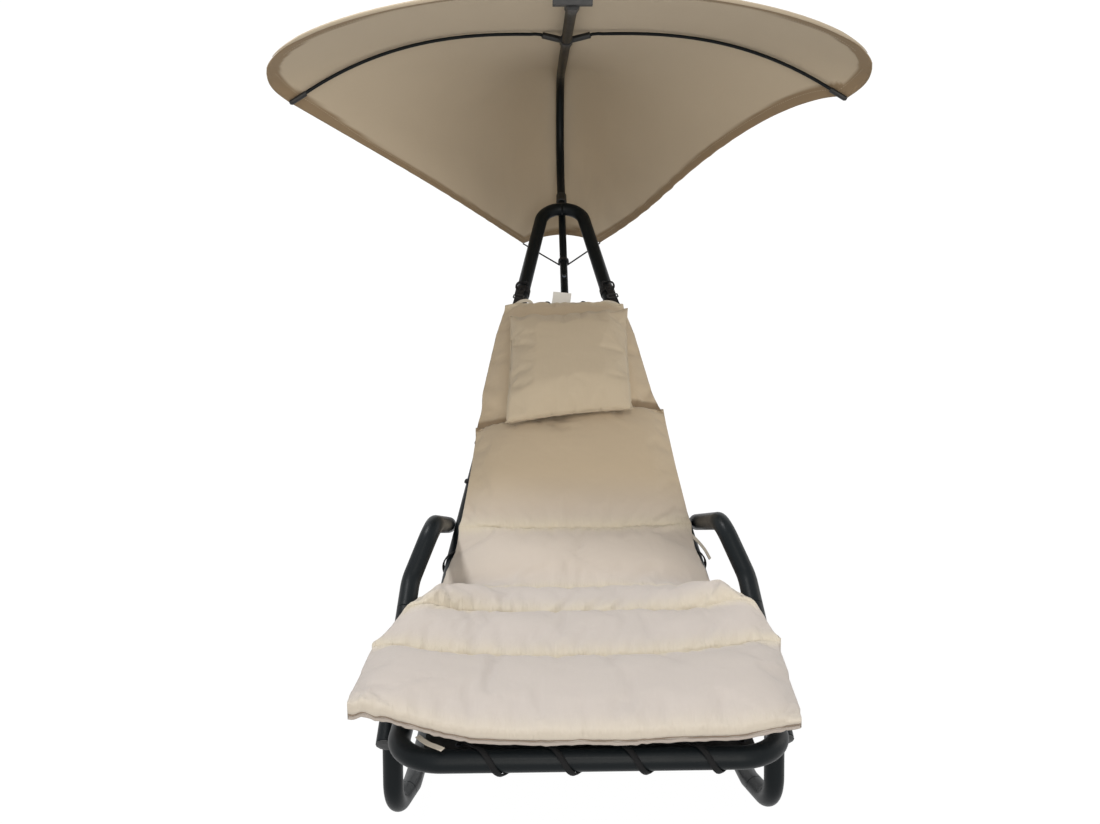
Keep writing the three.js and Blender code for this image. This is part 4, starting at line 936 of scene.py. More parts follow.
creases = [
    (-18, 742, 88, 652, 3.0), (-130, 640, -60, 690, 1.6), (-190, 795, -120, 745, 1.4),
    (40, 455, 84, 505, 2.6), (-66, 462, -20, 520, 2.4), (6, 478, 46, 512, 2.2), (60, 262, 92, 220, 1.8),
    (130, 300, 160, 262, 1.6), (-120, 250, -150, 205, 1.4), (-210, 470, -150, 505, 1.8),
    (170, 812, 245, 846, 3.0), (150, 720, 215, 760, 1.4), (-60, 1140, 20, 1120, 1.6),
    (90, 1150, 140, 1110, 1.6), (-226, 90, -290, 40, 2.4), (235, 60, 300, 20, 2.2),
]
CREASE_END = 12


def crease_depth(x, s):
    """The sharp little folds that the cloth keeps from being packed and sat on."""
    depth = 0.0
    for x0, s0, x1, s1, deep in creases:
        run, rise = x1 - x0, s1 - s0
        length = math.hypot(run, rise)
        along_it = ((x - x0) * run + (s - s0) * rise) / length
        if -CREASE_END < along_it < length + CREASE_END:
            off = ((x - x0) * rise - (s - s0) * run) / length
            starts = smooth((along_it + CREASE_END) / (2 * CREASE_END))
            stops = smooth((length + CREASE_END - along_it) / (2 * CREASE_END))
            furrow, ridge = math.exp(-(off / 5) ** 2), 0.7 * math.exp(-((off - 12) / 7) ** 2)
            depth += 1.5 * deep * (starts * stops) * (furrow - ridge)
    return depth


def shares_across(count):
    """Shares from -1 to 1 that lie closer together towards both edges."""
    evens = [2 * j / count - 1 for j in range(count + 1)]
    return [math.sin(even * math.pi / 2) * 0.55 + even * 0.45 for even in evens]


FILL, SEAM_THICK, EDGE_THICK, FRONT_THICK, FOLD_THICK, FRONT_RIM, UPPER_RIM = 52, 24, 23, 13, 11, 15, 17
CREST_MIDDLE, CREST_SIDES, OVERHANG, HORN, UNDER_IN = 3, 88, 24, 12, 9
CURL_UP, CURL_IN, CURL_THICK, CURL_LENGTH, CRUMPLE, LOW_RIGHT, FULL_MIDDLE = 24, 20, 12, 285, 9, 7, 5
PUCKER, WRINKLE, WAVE = 4.2, 2.6, 2.4
FOOT_END = -channel_seams[0]
FLARE_REACH, GATHER_REACH, MARK_REACH, HOLD_REACH, FOLD_SHADE_REACH = 13, 24, 21, 3, 37


def cushion_thickness(k, t, side, curl):
    """How thick channel k is at t along it: full in its middle, thin at its seams and its rim."""
    at_front, upper_half = k == 0 and t < 0.5, t > 0.5
    folded = (k == 4 and upper_half) or (k == 5 and t < 0.5)
    base = SEAM_THICK
    if at_front:
        base = FRONT_THICK
    elif k == 5 and upper_half:
        base = EDGE_THICK
    elif folded:
        base = FOLD_THICK
    lean = {4: t ** 1.35, 5: t ** 0.8}.get(k, t)
    swell = max(0.0, math.sin(math.pi * lean)) ** (0.34 if at_front or (k == 4 and upper_half) else 0.5)
    thick = base + (FILL - base) * swell * {2: 0.8 + 0.2 * side, 5: 0.9}.get(k, 1)
    rim = FRONT_RIM + CURL_THICK * curl if at_front else (EDGE_THICK if k < 3 else UPPER_RIM)
    return min(thick, rim + (thick - rim) * (1 - side ** (9 if k < 3 else 6))), swell


def cushion_ripples(k, t, v, s, half, to_seam, swell):
    """Puckers at the seams, slow waves in the filling, and the creases."""
    side, row = abs(v), 1 if t > 0.5 else 0
    gather = math.exp(-(to_seam / GATHER_REACH) ** 2) * (1 - side ** 8) * (0.35 if k == 0 and t < 0.5 else 1)
    pucker = noise.noise(Vector((v * half / 17, k * 3.7 + row, to_seam / 55))) * PUCKER * gather
    pucker += noise.noise(Vector((v * half / 40, k * 2.9 + row * 5, to_seam / 80))) * WRINKLE * gather
    waves = noise.noise(Vector((v * half / 95, s / 64, 3.1))) * WAVE * swell
    waves += crease_depth(v * half, s) * (1 - side ** 10)
    return (pucker + waves) * (1 - side ** 6)


def cushion_spot(k, t, v):
    """A spot t along channel k and v across: its top and underside, its place along the bed, and how
    much it is part of a seam, is held by one, and takes the painted shade of the fold."""
    side, starts, ends = abs(v), seam_place(k, v), seam_place(k + 1, v)
    s = starts * (1 - t) + ends * t
    to_seam = min(abs(s - starts), abs(s - ends))
    at_front = k == 0 and t < 0.5
    flare = 0 if at_front else (7 if k == 0 or (k == 1 and t < 0.5) else 3)
    half = steps_between(cushion_halves, s) + math.exp(-(to_seam / FLARE_REACH) ** 2) * flare

    curl = smooth((-v - 0.45) / 0.55) * max(0.0, 1 - (s + FOOT_END) / CURL_LENGTH)
    thick, swell = cushion_thickness(k, t, side, curl)
    peak = (CREST_MIDDLE + CREST_SIDES * side ** 2.6) * (1 - 0.2 * smooth((side - 0.88) / 0.12))
    lift = peak * steps_between(edge_rise, s - seam_place(3, v))
    low_right = LOW_RIGHT * smooth((v - 0.5) / 0.25) * smooth((1 - v) / 0.07) * smooth(1 - (s + FOOT_END) / 90)
    full_middle = FULL_MIDDLE * (1 - side) * smooth(1 - (s + FOOT_END) / 60)
    rise = CUSHION_UNDER + lift - low_right + CURL_UP * curl + full_middle
    crumple = 0
    if k == 0 and v < -0.78:
        crumple = CRUMPLE * noise.noise(Vector((v * 21, s / 13, 9)))
        crumple *= smooth((-v - 0.78) / 0.12) * smooth(1 - s / 90)

    overhang = OVERHANG * math.exp(-((1 - t) / 0.06) ** 2) * smooth((1 - t) / 0.02) if k == 4 else 0
    horn = HORN * max(0.0, side - 0.95) / 0.05 if k == 0 and t < 0.04 else 0
    under_in = UNDER_IN if k == 0 and t < 0.02 else 0
    aside = -22 * smooth(1 - (s - 230) / 150) + 6 * smooth((s - 640) / 300) - 13 * smooth((s - 1180) / 90)
    x = v * half + aside * (1 - 0.3 * side) - CURL_IN * curl
    ripples = cushion_ripples(k, t, v, s, half, to_seam, swell)
    top = on_bed(s + overhang - horn, x, rise + thick + ripples + crumple)
    under = on_bed(s - horn + under_in, x, rise + crumple * 0.4)

    folded = (k == 4 and t > 0.5) or (k == 5 and t < 0.5)
    seam = 0.0 if folded and to_seam < 60 else math.exp(-(to_seam / MARK_REACH) ** 2) * (0.6 if at_front else 1)
    hold = 1.0 if to_seam < HOLD_REACH or side > 0.995 else 0.08
    # Painted shade in the fold under the lip, strongest at the seam.
    fold_shade = smooth((FOLD_SHADE_REACH - to_seam) / 7) if k == 5 and t < 0.5 else 0.0
    return top, under, s, seam, hold, fold_shade


channel_rows, cushion_columns = [34, 26, 22, 28, 44, 40], 104
rows = []
for k, count in enumerate(channel_rows):
    for i in range(0 if k == 0 else 1, count + 1):
        rows.append((k, (1 - math.cos(math.pi * i / count)) / 2 * 0.75 + i / count * 0.25))
cushion_spots = [[cushion_spot(k, t, v) for v in shares_across(cushion_columns)] for k, t in rows]
top, under = [[[here[n] for here in line] for line in cushion_spots] for n in (0, 1)]
place, seams, holds, fold_shades = [[here[n] for line in cushion_spots for here in line] for n in (2, 3, 4, 5)]
grid_size = len(place)
points, faces = case(top, under)
WEFT_STRETCH = 1.25
cut = [(p.x, p.y * WEFT_STRETCH) for p in points]
cushion = mesh_piece("cushion", points, faces, cushion_cloth, "lounger", "cushion_cloth", ["seat_cushion"], cut)
outward(cushion)
stuffed(cushion, holds + [0.9] * grid_size, pressure=3.2, growth=0.026, cap=0.011)
# The seam mask bumps the gathers and carries the painted bounce light of the seam valleys.
mark(cushion, "seam", seams + [0.0] * grid_size)
# The painted canopy shade: a little from 560 mm along the bed, in full from about 990 mm.
mark(cushion, "shaded", [0.3 * smooth((s - 560) / 120) + 0.7 * smooth((s - 820) / 170) for s in place + place])
# The fold's painted shade, on top and underside alike.
mark(cushion, "painted_fold_shade", fold_shades + fold_shades)


def stitch_part(tree, size):
    """One stitch: a short rounded bar of thread that lies on the cloth."""
    bead, shape = tree.nodes.new("GeometryNodeMeshUVSphere"), tree.nodes.new("GeometryNodeTransform")
    bead.inputs["Segments"].default_value, bead.inputs["Rings"].default_value = 6, 4
    shape.inputs["Scale"].default_value = (1.0, 0.24, 0.2)
    tree.links.new(size, bead.inputs["Radius"])
    tree.links.new(bead.outputs[0], shape.inputs[0])
    return shape.outputs[0]


def stitch_run(line, lifts, spacing):
    """Spots for stitches at even spacing along a line, with the cloth's normals."""
    spots, left = [], spacing / 2
    for (p, lift), (q, _) in zip(zip(line, lifts), zip(line[1:], lifts[1:])):
        length = (q - p).length
        while left <= length and length > 0:
            spots.append((p.lerp(q, left / length) + lift * 0.0003, lift, (q - p).normalized()))
            left += spacing
        left -= length
    return spots


sewing_thread = Finish("sewing_thread", IOR=1.45, Sheen_Weight=0.2)
sewing_thread.feed(
    Base_Color=sewing_thread.mix(sewing_thread.grain(700, 2), srgb(214, 203, 180), srgb(188, 174, 148)),
    Roughness=sewing_thread.grain(2400, 2) * 0.15 + 0.6,
    Normal=sewing_thread.relief(sewing_thread.grain(3000, 2, 0.5, (1, 1, 3)), 0.0001),
)
STITCH_GAP, STITCH_HALF = 0.006, 0.002


def cushion_row(i):
    """The sewn surface along one row of the cushion: its points and normals."""
    start = i * (cushion_columns + 1)
    picked = cushion.data.vertices[start:start + cushion_columns + 1]
    return [v.co.copy() for v in picked], [v.normal.copy() for v in picked]


seam_stitches = []
for channels in range(1, len(channel_rows)):
    seam_stitches += stitch_run(*cushion_row(sum(channel_rows[:channels])), STITCH_GAP)
scattered("cushion_stitches", seam_stitches, "Half length", STITCH_HALF, stitch_part, sewing_thread,
          "lounger")

front_top, _ = cushion_row(0)
front_under = [v.co.copy() for v in cushion.data.vertices[grid_size:grid_size + cushion_columns + 1]]
# A welt at the foot of the front and a thin cord along the seam line above it. Both take the painted fold
# shade: the cord takes it fully and draws a painted shadow line, the welt takes a little.
for name, share, thick, tall, painted_shade in (
    ("front_welt", 0.1, 0.003, 0.0036, 0.3), ("front_seam_fold", 0.62, 0.0008, 0.0011, 1.0),
):
    line = []
    for j, (high, low) in enumerate(zip(front_top, front_under)):
        wave = 0.0016 * noise.noise(Vector((j * 0.31, share * 9, 2)))
        line.append(low.lerp(high, share) + Vector((0, -0.0012 + wave * 0.6, wave)))
    points, faces, cut = swept(flowing(line, 2), tall, 12, thick / tall, Vector((0, 0, 1)))
    seam = mesh_piece(name, points, faces, cushion_cloth, "lounger", "cushion_cloth", cut=cut)
    mark(seam, "painted_fold_shade", [painted_shade] * len(points))

# ---- Head pillow ---------------------------------------------------------------------------
# A small box pillow of the same cloth on the head part, full at the face and pinched at its
# corners, with a sewn edge all round its face.
# Painted shade: the pillow's cloth is the cushion's, given a warmer, deeper tone for the canopy's shade over
# it.
pillow_cloth = cloth_finish("pillow_weave_shade_tone", srgb(206, 193, 171), srgb(196, 182, 158))
PILLOW_FROM, PILLOW_TO, PILLOW_HALF, PILLOW_DEEP = 1133, 1476, 153, 62
PILLOW_UP = CUSHION_UNDER + 49.2 + 0.6
PILLOW_CELLS, WALL_CELLS = 56, 10


def pillow_spot(a, b, h):
    """a up and b across from -1 to 1, h from 0 at the back to 1 at the face."""
    pinch = 0.05 * (1 - h * 0.4)
    half = PILLOW_HALF * (1 - pinch * (1 - a * a)) * (0.94 + 0.06 * h)
    reach = (PILLOW_TO - PILLOW_FROM) / 2 * (1 - pinch * (1 - b * b)) * (0.94 + 0.06 * h)
    swell = ((1 - a ** 4) * (1 - b ** 4)) ** 0.55
    face = 8 + 34 * h + (PILLOW_DEEP - 42) * h * swell + 7 * h * swell - 15 * h * smooth((-a - 0.58) / 0.42)
    flap = 5 * h * smooth((a - 0.55) / 0.4) * noise.noise(Vector((b * 4.3, a * 2, 6)))
    up = face + flap if h > 0 else 8 * (1 - swell)
    shear = b * (16 - 4 * a)
    return on_bed((PILLOW_FROM + PILLOW_TO) / 2 + a * reach + shear, b * half + 4 * a, PILLOW_UP + up)


kit = bmesh.new()
shares = [2 * i / PILLOW_CELLS - 1 for i in range(PILLOW_CELLS + 1)]
back, face = [[[kit.verts.new(pillow_spot(a, b, h)) for b in shares] for a in shares] for h in (0.0, 1.0)]
for sheet in (back, face):
    for i in range(PILLOW_CELLS):
        for j in range(PILLOW_CELLS):
            ring = (sheet[i][j], sheet[i][j + 1], sheet[i + 1][j + 1], sheet[i + 1][j])
            kit.faces.new(ring if sheet is face else tuple(reversed(ring)))
last = PILLOW_CELLS
rim = [(i, 0) for i in range(last)] + [(last, j) for j in range(last)]
rim += [(last - i, last) for i in range(last)] + [(0, last - j) for j in range(last)]
walls = [[back[i][j] for i, j in rim]]
for level in range(1, WALL_CELLS):
    walls.append([kit.verts.new(back[i][j].co.lerp(face[i][j].co, level / WALL_CELLS)) for i, j in rim])
walls.append([face[i][j] for i, j in rim])
for low, high in zip(walls, walls[1:]):
    for k in range(len(rim)):
        n = (k + 1) % len(rim)
        kit.faces.new((low[k], low[n], high[n], high[k]))
bmesh.ops.recalc_face_normals(kit, faces=kit.faces)
kit.verts.index_update()
back_rim, face_rim = [[corner.index for corner in wall] for wall in (walls[0], walls[-1])]
pillow_mesh = bpy.data.meshes.new("pillow")
kit.to_mesh(pillow_mesh)
kit.free()
cut = [(v.co.x, v.co.y * WEFT_STRETCH) for v in pillow_mesh.vertices]
pillow = placed("pillow", pillow_mesh, pillow_cloth, "lounger", "pillow_cloth", ["head_pillow"], cut)
back_size, pillow_size = len(shares) ** 2, len(pillow_mesh.vertices)
held = [0.95] * back_size + [0.0] * (pillow_size - back_size)
for rim_line, weight in ((face_rim, 0.5), (back_rim, 1.0)):
    for i in rim_line:
        held[i] = weight
stuffed(pillow, held, pressure=3.5, growth=0.03, cap=0.012)
mark(pillow, "seam", [0.0] * pillow_size)
edge_line = [pillow_mesh.vertices[i].co.copy() for i in face_rim]
points, faces, cut = swept(flowing([*edge_line, edge_line[0]], 2), 0.0012, 8)
mesh_piece("pillow_edge", points, faces, pillow_cloth, "lounger", "pillow_cloth", cut=cut)

# ---- Straps, ties and label ----------------------------------------------------------------
# Black webbing loops sewn to the cushion's head end hold it to the side tubes; tapes of the
# cushion's own cloth tie it on lower down, and a blank white label is sewn into its head seam.
webbing = Finish("black_webbing", IOR=1.45, Specular_IOR_Level=0.3)
rib, row = webbing.along(0) * (2 * math.pi / 0.0016), webbing.along(1) * (2 * math.pi / 0.0022)
ribs = rib.sine() * row.sine() * 0.5 + 0.5
webbing.feed(
    Base_Color=webbing.mix(ribs * 0.7 + webbing.grain(60, 2) * 0.3, srgb(13, 13, 14), srgb(34, 34, 36)),
    Roughness=ribs * 0.15 + 0.6,
    Normal=webbing.relief(ribs, 0.00035),
)
tape_cloth = cloth_finish("tie_tape", srgb(214, 208, 196), srgb(202, 194, 180), 0.0009, 0.00012)
label_cloth = Finish("label_satin", IOR=1.45, Sheen_Weight=0.2)
satin = (label_cloth.along(1) * (2 * math.pi / 0.0007)).sine() * 0.5 + 0.5
satin_cloud = satin * 0.4 + label_cloth.grain(40, 2) * 0.6
label_cloth.feed(
    Base_Color=label_cloth.mix(satin_cloud, srgb(236, 236, 233), srgb(224, 224, 220)),
    Roughness=satin * 0.1 + 0.45,
    Normal=label_cloth.relief(satin, 0.00008),
)


def band(name, line, lifts, width, thick, finish, slot, nodes=(), closed=False):
    """A flat strap along a line; lifts give the way its broad face looks at each point."""
    points, cut, passed = [], [], 0.0
    for i, (p, lift) in enumerate(zip(line, lifts)):
        ahead = run_at(line, i, closed)
        lift = (lift - ahead * lift.dot(ahead)).normalized()
        over = ahead.cross(lift)
        passed += (p - line[i - 1]).length if i else 0.0
        for u, w in SQUARE:
            points.append(p + over * (u / 2) * width + lift * (w / 2) * thick)
            cut.append((passed, u / 2 * width))
    faces = ring_faces(len(line), len(SQUARE), closed)
    flat = range(len(faces))
    return outward(mesh_piece(name, points, faces, finish, "lounger", slot, nodes, cut, flat))


LOOP_WIDTH, STRAP_WIDTH, STRAP_THICK, LOOP_OFF, LOOP_STEPS, KNOT_STEPS = 0.021, 0.02, 0.0016, 0.0013, 36, 44
BUCKLE_ACROSS, BUCKLE_ALONG = 0.0135, 0.0085
strap_low, strap_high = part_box("cushion_strap_right")
tube_run = (arch_line[1] - arch_line[0]).normalized()
to_strap = (Vector(strap_low) + Vector(strap_high)) / 2 - arch_line[0]
strap_middle = arch_line[0] + tube_run * to_strap.dot(tube_run)
tube_out = tube_run.orthogonal().normalized()
tube_side = tube_run.cross(tube_out)
head_corner = on_bed(1578, 138, CUSHION_UNDER + 20)
bed_up = (on_bed(1580, 0, 10) - on_bed(1580, 0, 0)).normalized()
strap_start = strap_middle + bed_up * (TUBE + 0.003)
strap_run = (head_corner - strap_start).normalized()
strap_across = strap_run.cross(bed_up).normalized()


def strap_spot(share, up):
    """A point on the way from the tube to the cushion's corner, up metres above it."""
    return strap_start.lerp(head_corner, share) + bed_up * up


tail_line = flowing([strap_start, strap_spot(0.3, 0.004), strap_spot(0.65, 0.003), head_corner], 6)
knot_line = []
for k in range(KNOT_STEPS):
    a = 2 * math.pi * k / KNOT_STEPS
    out = Vector((math.cos(a) * (0.013 + 0.004 * math.cos(2 * a)), 0, 0))
    up = bed_up * (0.004 + 0.0045 * math.sin(3 * a))
    knot_line.append(strap_start + up + out + tube_run * math.sin(a) * 0.017)
knot_line.append(knot_line[0])
buckle_line = []
for (u, w), (next_u, next_w) in zip(SQUARE, SQUARE[1:] + SQUARE[:1]):
    for q in (0.12, 0.5, 0.88):
        over = strap_across * BUCKLE_ACROSS * (u + (next_u - u) * q)
        on = strap_run * BUCKLE_ALONG * (w + (next_w - w) * q)
        buckle_line.append(strap_spot(0.55, 0.0042) + over + on)
buckle_line = flowing([*buckle_line, buckle_line[0]], 3)
for side, turned in SIDES:
    angles = [2 * math.pi * k / LOOP_STEPS for k in range(LOOP_STEPS)]
    loop_lifts = [tube_out * math.cos(a) + tube_side * math.sin(a) for a in angles]
    loop_line = turned([strap_middle + away * (TUBE + LOOP_OFF) for away in loop_lifts])
    loop_lifts = turned(loop_lifts)
    if side == "left":
        loop_line, loop_lifts = loop_line[::-1], loop_lifts[::-1]
    band(f"strap_loop_{side}", loop_line, loop_lifts, LOOP_WIDTH, STRAP_THICK, webbing, "strap_webbing",
         [f"cushion_strap_{side}"], closed=True)
    band(f"strap_tail_{side}", turned(tail_line), [bed_up] * len(tail_line), STRAP_WIDTH, STRAP_THICK, webbing,
         "strap_webbing")
    for name, line, radius, sides, flatten, finish, slot in (
        ("strap_knot", knot_line, 0.0034, 10, 0.6, webbing, "strap_webbing"),
        ("strap_buckle", buckle_line, 0.0019, 8, 1.0, moulding, "black_plastic"),
    ):
        points, faces, cut = swept(turned(line), radius, sides, flatten)
        mesh_piece(f"{name}_{side}", points, faces, finish, "lounger", slot, cut=cut)

LABEL_WIDTH, LABEL_THICK = 0.05, 0.0008
label_rise = [(1570, 48), (1584, 50), (1596, 53), (1606, 58), (1614, 65)]
label_line = flowing([on_bed(s, -15 + (s - 1580) * 0.16, up) for s, up in label_rise])
label_up = (on_bed(1590, 0, 10) - on_bed(1590, 0, 0)).normalized()
label_lifts = [label_up] * len(label_line)
label = band("label", label_line, label_lifts, LABEL_WIDTH, LABEL_THICK, label_cloth, "cushion_cloth")

TIE_WIDTH, TIE_THICK = 0.009, 0.0012
for name, lift, places in (
    ("tie_right", (0.5, -0.6, 0.6), [
        (842, 250, 37), (830, 266, 32), (816, 283, 23), (800, 299, 11), (784, 311, -4),
    ]),
    ("tie_left", (0, -0.35, 0.9), [
        (40, -284, 24), (26, -274, 24), (12, -263, 25), (0, -251, 27), (-12, -238, 28),
    ]),
    ("head_tie_right", (0.2, -0.9, 0.5), [
        (1580, 88, 50), (1588, 100, 51), (1591, 116, 50), (1588, 132, 48), (1580, 146, 44), (1572, 156, 36),
        (1560, 164, 22),
    ]),
    ("head_tie_left", (-0.2, -0.9, 0.5), [
        (1582, -92, 50), (1592, -98, 52), (1596, -110, 53), (1594, -126, 50), (1584, -142, 44),
        (1568, -156, 36), (1546, -168, 24), (1522, -176, 12),
    ]),
):
    line = flowing([on_bed(*place) for place in places], 8)
    length = sum((q - p).length for p, q in zip(line, line[1:]))
    tie = band(name, line, [Vector(lift)] * len(line), TIE_WIDTH, TIE_THICK, tape_cloth, "cushion_cloth")
    tuple(line[0])
    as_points(line)

# ---- Canopy pole, hub and bow --------------------------------------------------------------
# The pole hooks forward from the mast; a moulded hub on it holds two spring steel rods that
# bow the cover out to its side corners, where moulded tips push into the hem.
pole_foot, hook_foot = spot(0, 1867.8, 1247.6), spot(0, 1919.4, 1288.7)
hook_centre, pole_tip = spot(0, 1807.7, 1428.6), spot(0, 728, 1613.6)
HOOK_RADIUS, HOOK_TURN, HOOK_STEPS = 0.179, math.pi - math.radians(38.6), 36
mast_way_up = Vector((0, 0.78152, 0.62388))
hook = []
for i in range(HOOK_STEPS + 1):
    a = HOOK_TURN * i / HOOK_STEPS
    back, up = (hook_foot - hook_centre) * math.cos(a), mast_way_up * HOOK_RADIUS * math.sin(a)
    hook.append(hook_centre + back + up)
tube("pole", [pole_foot, *hook, pole_tip], BAR, ["canopy_pole"], "canopy", sides=28)

COVER_LIFT = 0.023
FRONT_AT, BOW_AT, CREST_AT = 690, 1200, 1807.7
RIDGE_RADIUS = HOOK_RADIUS + COVER_LIFT
ridge_front = Vector((0, spot(0, FRONT_AT, 0).y, pole_tip.z + COVER_LIFT))
ridge_crest = hook_centre + Vector((0, 0, RIDGE_RADIUS))
ridge_bow = ridge_front.lerp(ridge_crest, (BOW_AT - FRONT_AT) / (CREST_AT - FRONT_AT))
ridge_tail = spot(0, 1915, 1126)
ridge_rear = [ridge_bow.lerp(ridge_crest, i / 30) for i in range(31)]
for i in range(1, 31):
    a = math.radians(3 * i)
    ridge_rear.append(hook_centre + Vector((0, math.sin(a), math.cos(a))) * RIDGE_RADIUS)
ridge_rear += [ridge_rear[-1].lerp(ridge_tail, i / 10) for i in range(1, 11)]
wing, tip = spot(676, 900, 1501), spot(651, 1000, 1450)
waist, corner = spot(352, 1455, 1262), spot(122, 1876, 1101)


def centripetal(points, steps=60):
    """A centripetal spline through three points, its ends continued."""
    ends = [points[0] * 2 - points[1], *points, points[-1] * 2 - points[-2]]
    line = []
    for a, b, c, d in zip(ends, ends[1:], ends[2:], ends[3:]):
        t1, t2, t3 = [(q - p).length ** 0.5 for p, q in ((a, b), (b, c), (c, d))]
        leave = ((b - a) / t1 - (c - a) / (t1 + t2) + (c - b) / t2) * t2
        arrive = ((c - b) / t2 - (d - b) / (t2 + t3) + (d - c) / t3) * t2
        for k in range(steps):
            u = k / steps
            ends_part = b * (2 * u ** 3 - 3 * u ** 2 + 1) + c * (3 * u ** 2 - 2 * u ** 3)
            line.append(ends_part + leave * (u ** 3 - 2 * u ** 2 + u) + arrive * (u ** 3 - u ** 2))
    line.append(points[-1])
    return line


edge_rear = centripetal([tip, waist, corner])


def part_way(line, share):
    """The point at a share of a line's length."""
    lengths = [(q - p).length for p, q in zip(line, line[1:])]
    left = share * sum(lengths)
    for p, q, length in zip(line, line[1:], lengths):
        if left <= length:
            return p.lerp(q, left / length)
        left -= length
    return line[-1].copy()


def cover_edges(row):
    """Ridge and right edge of the cover at a row: 0 the front hem, 1 the bow, 2 the tail."""
    if row < 1:
        bulge = Vector((0.013 * math.sin(math.pi * row), 0, 0))
        return ridge_front.lerp(ridge_bow, row), wing.lerp(tip, row) + bulge
    return part_way(ridge_rear, row - 1), part_way(edge_rear, row - 1)


def cover_point(ends, row, share):
    """A point of the cover; its right rear side is pulled in by a tight thread in the hem."""
    ridge, edge = ends
    front, rear = min(1.0, row), max(0.0, row - 1)
    if share > 0 and rear > 0:
        share *= 1 - 0.08 * math.sin(math.pi * rear ** 0.6) * (1 - rear) ** 0.7 * share ** 3
    v = abs(share)

    def rounded(power):
        return (1 - max(0.0, 1 - v * v) ** 0.6) * (1 - front) + v ** power * front

    sweep, drop = rounded(1.15 + (1.8 - 1.15) * rear), rounded(2.8 + (1.7 - 2.8) * rear)
    across = math.copysign(edge.x * v, share)
    return Vector((across, ridge.y + (edge.y - ridge.y) * sweep, ridge.z + (edge.z - ridge.z) * drop))


def cover_normal(row, share, step=0.01):
    """The way that the cover's outside looks at a point."""
    later, earlier = min(2, row + step), max(0, row - step)
    ahead = cover_point(cover_edges(later), later, share) - cover_point(cover_edges(earlier), earlier, share)
    ends = cover_edges(row)
    over = cover_point(ends, row, min(1, share + step)) - cover_point(ends, row, max(-1, share - step))
    return over.cross(ahead).normalized()


ROD, ROD_UNDER, ROD_FROM, ROD_TO = 0.004, 0.0088, 0.1, 0.985
bow_ends = cover_edges(1.0)
bow_line = [spot(16.5, BOW_AT, 1611)]
for i in range(25):
    share = ROD_FROM + (ROD_TO - ROD_FROM) * i / 24
    bow_line.append(cover_point(bow_ends, 1.0, share) - cover_normal(1.0, share) * ROD_UNDER)
for side, turned in SIDES:
    tube(f"bow_{side}", turned(flowing(bow_line, 2)), ROD, [f"bow_rod_{side}"], "canopy", sides=14, lip=0.0004)

# ---- Canopy cover --------------------------------------------------------------------------
# One panel of beige polyester canvas, hemmed all round with a double turn and stretched over
# the pole and the bow; its rear sides pull in and pucker where the hem's thread is tight.
canvas = Finish("canopy_canvas", IOR=1.45, Sheen_Weight=0.12)
thread_turns = 2 * math.pi / 0.0014
threads = (canvas.along(0) * thread_turns).sine() * (canvas.along(1) * thread_turns).sine() * 0.5 + 0.5
slub = canvas.grain(220, 3, 0.6, (1, 0.2, 1))
cloud = canvas.grain(3.5, 3) * 0.6 + slub * 0.25 + threads * 0.15
tone = canvas.mix(cloud, srgb(207, 194, 173), srgb(196, 182, 160))
# Painted shade: the hem is darker brown, for the light that passes less through its three layers.
tone = canvas.mix(canvas.mask("hem"), tone, srgb(150, 130, 104))
canvas.feed(
    Base_Color=tone,
    Roughness=slub * 0.1 + 0.8,
    Normal=canvas.relief(threads * 0.6 + slub * 0.4, 0.0002),
)


BROAD_HEM, SIDE_SLIMMER, TAIL_SLIMMER, HEM_EXTRA_THICK = 0.032, 0.008, 0.014, 0.0009
HEM_PUCKER, COVER_SLACK, COVER_FAN = 0.0021, 0.0028, 0.0007
FRONT_ROWS, REAR_ROWS, COVER_COLUMNS, COVER_HALF_THICK = 26, 90, 124, 0.0008


def hem_width(row, right):
    """The hem is broad round the side tips and narrower along the rear sides and the tail."""
    if row < 1:
        return BROAD_HEM
    return BROAD_HEM - (SIDE_SLIMMER if right else TAIL_SLIMMER) * smooth((row - 1) / 0.28)


row_shares = [i / FRONT_ROWS for i in range(FRONT_ROWS)] + [1 + i / REAR_ROWS for i in range(REAR_ROWS + 1)]
column_shares = shares_across(COVER_COLUMNS)
middle = []
for row in row_shares:
    ends = cover_edges(row)
    middle.append([cover_point(ends, row, share) for share in column_shares])
side_edges = [[line[0] for line in middle], [line[-1] for line in middle]]


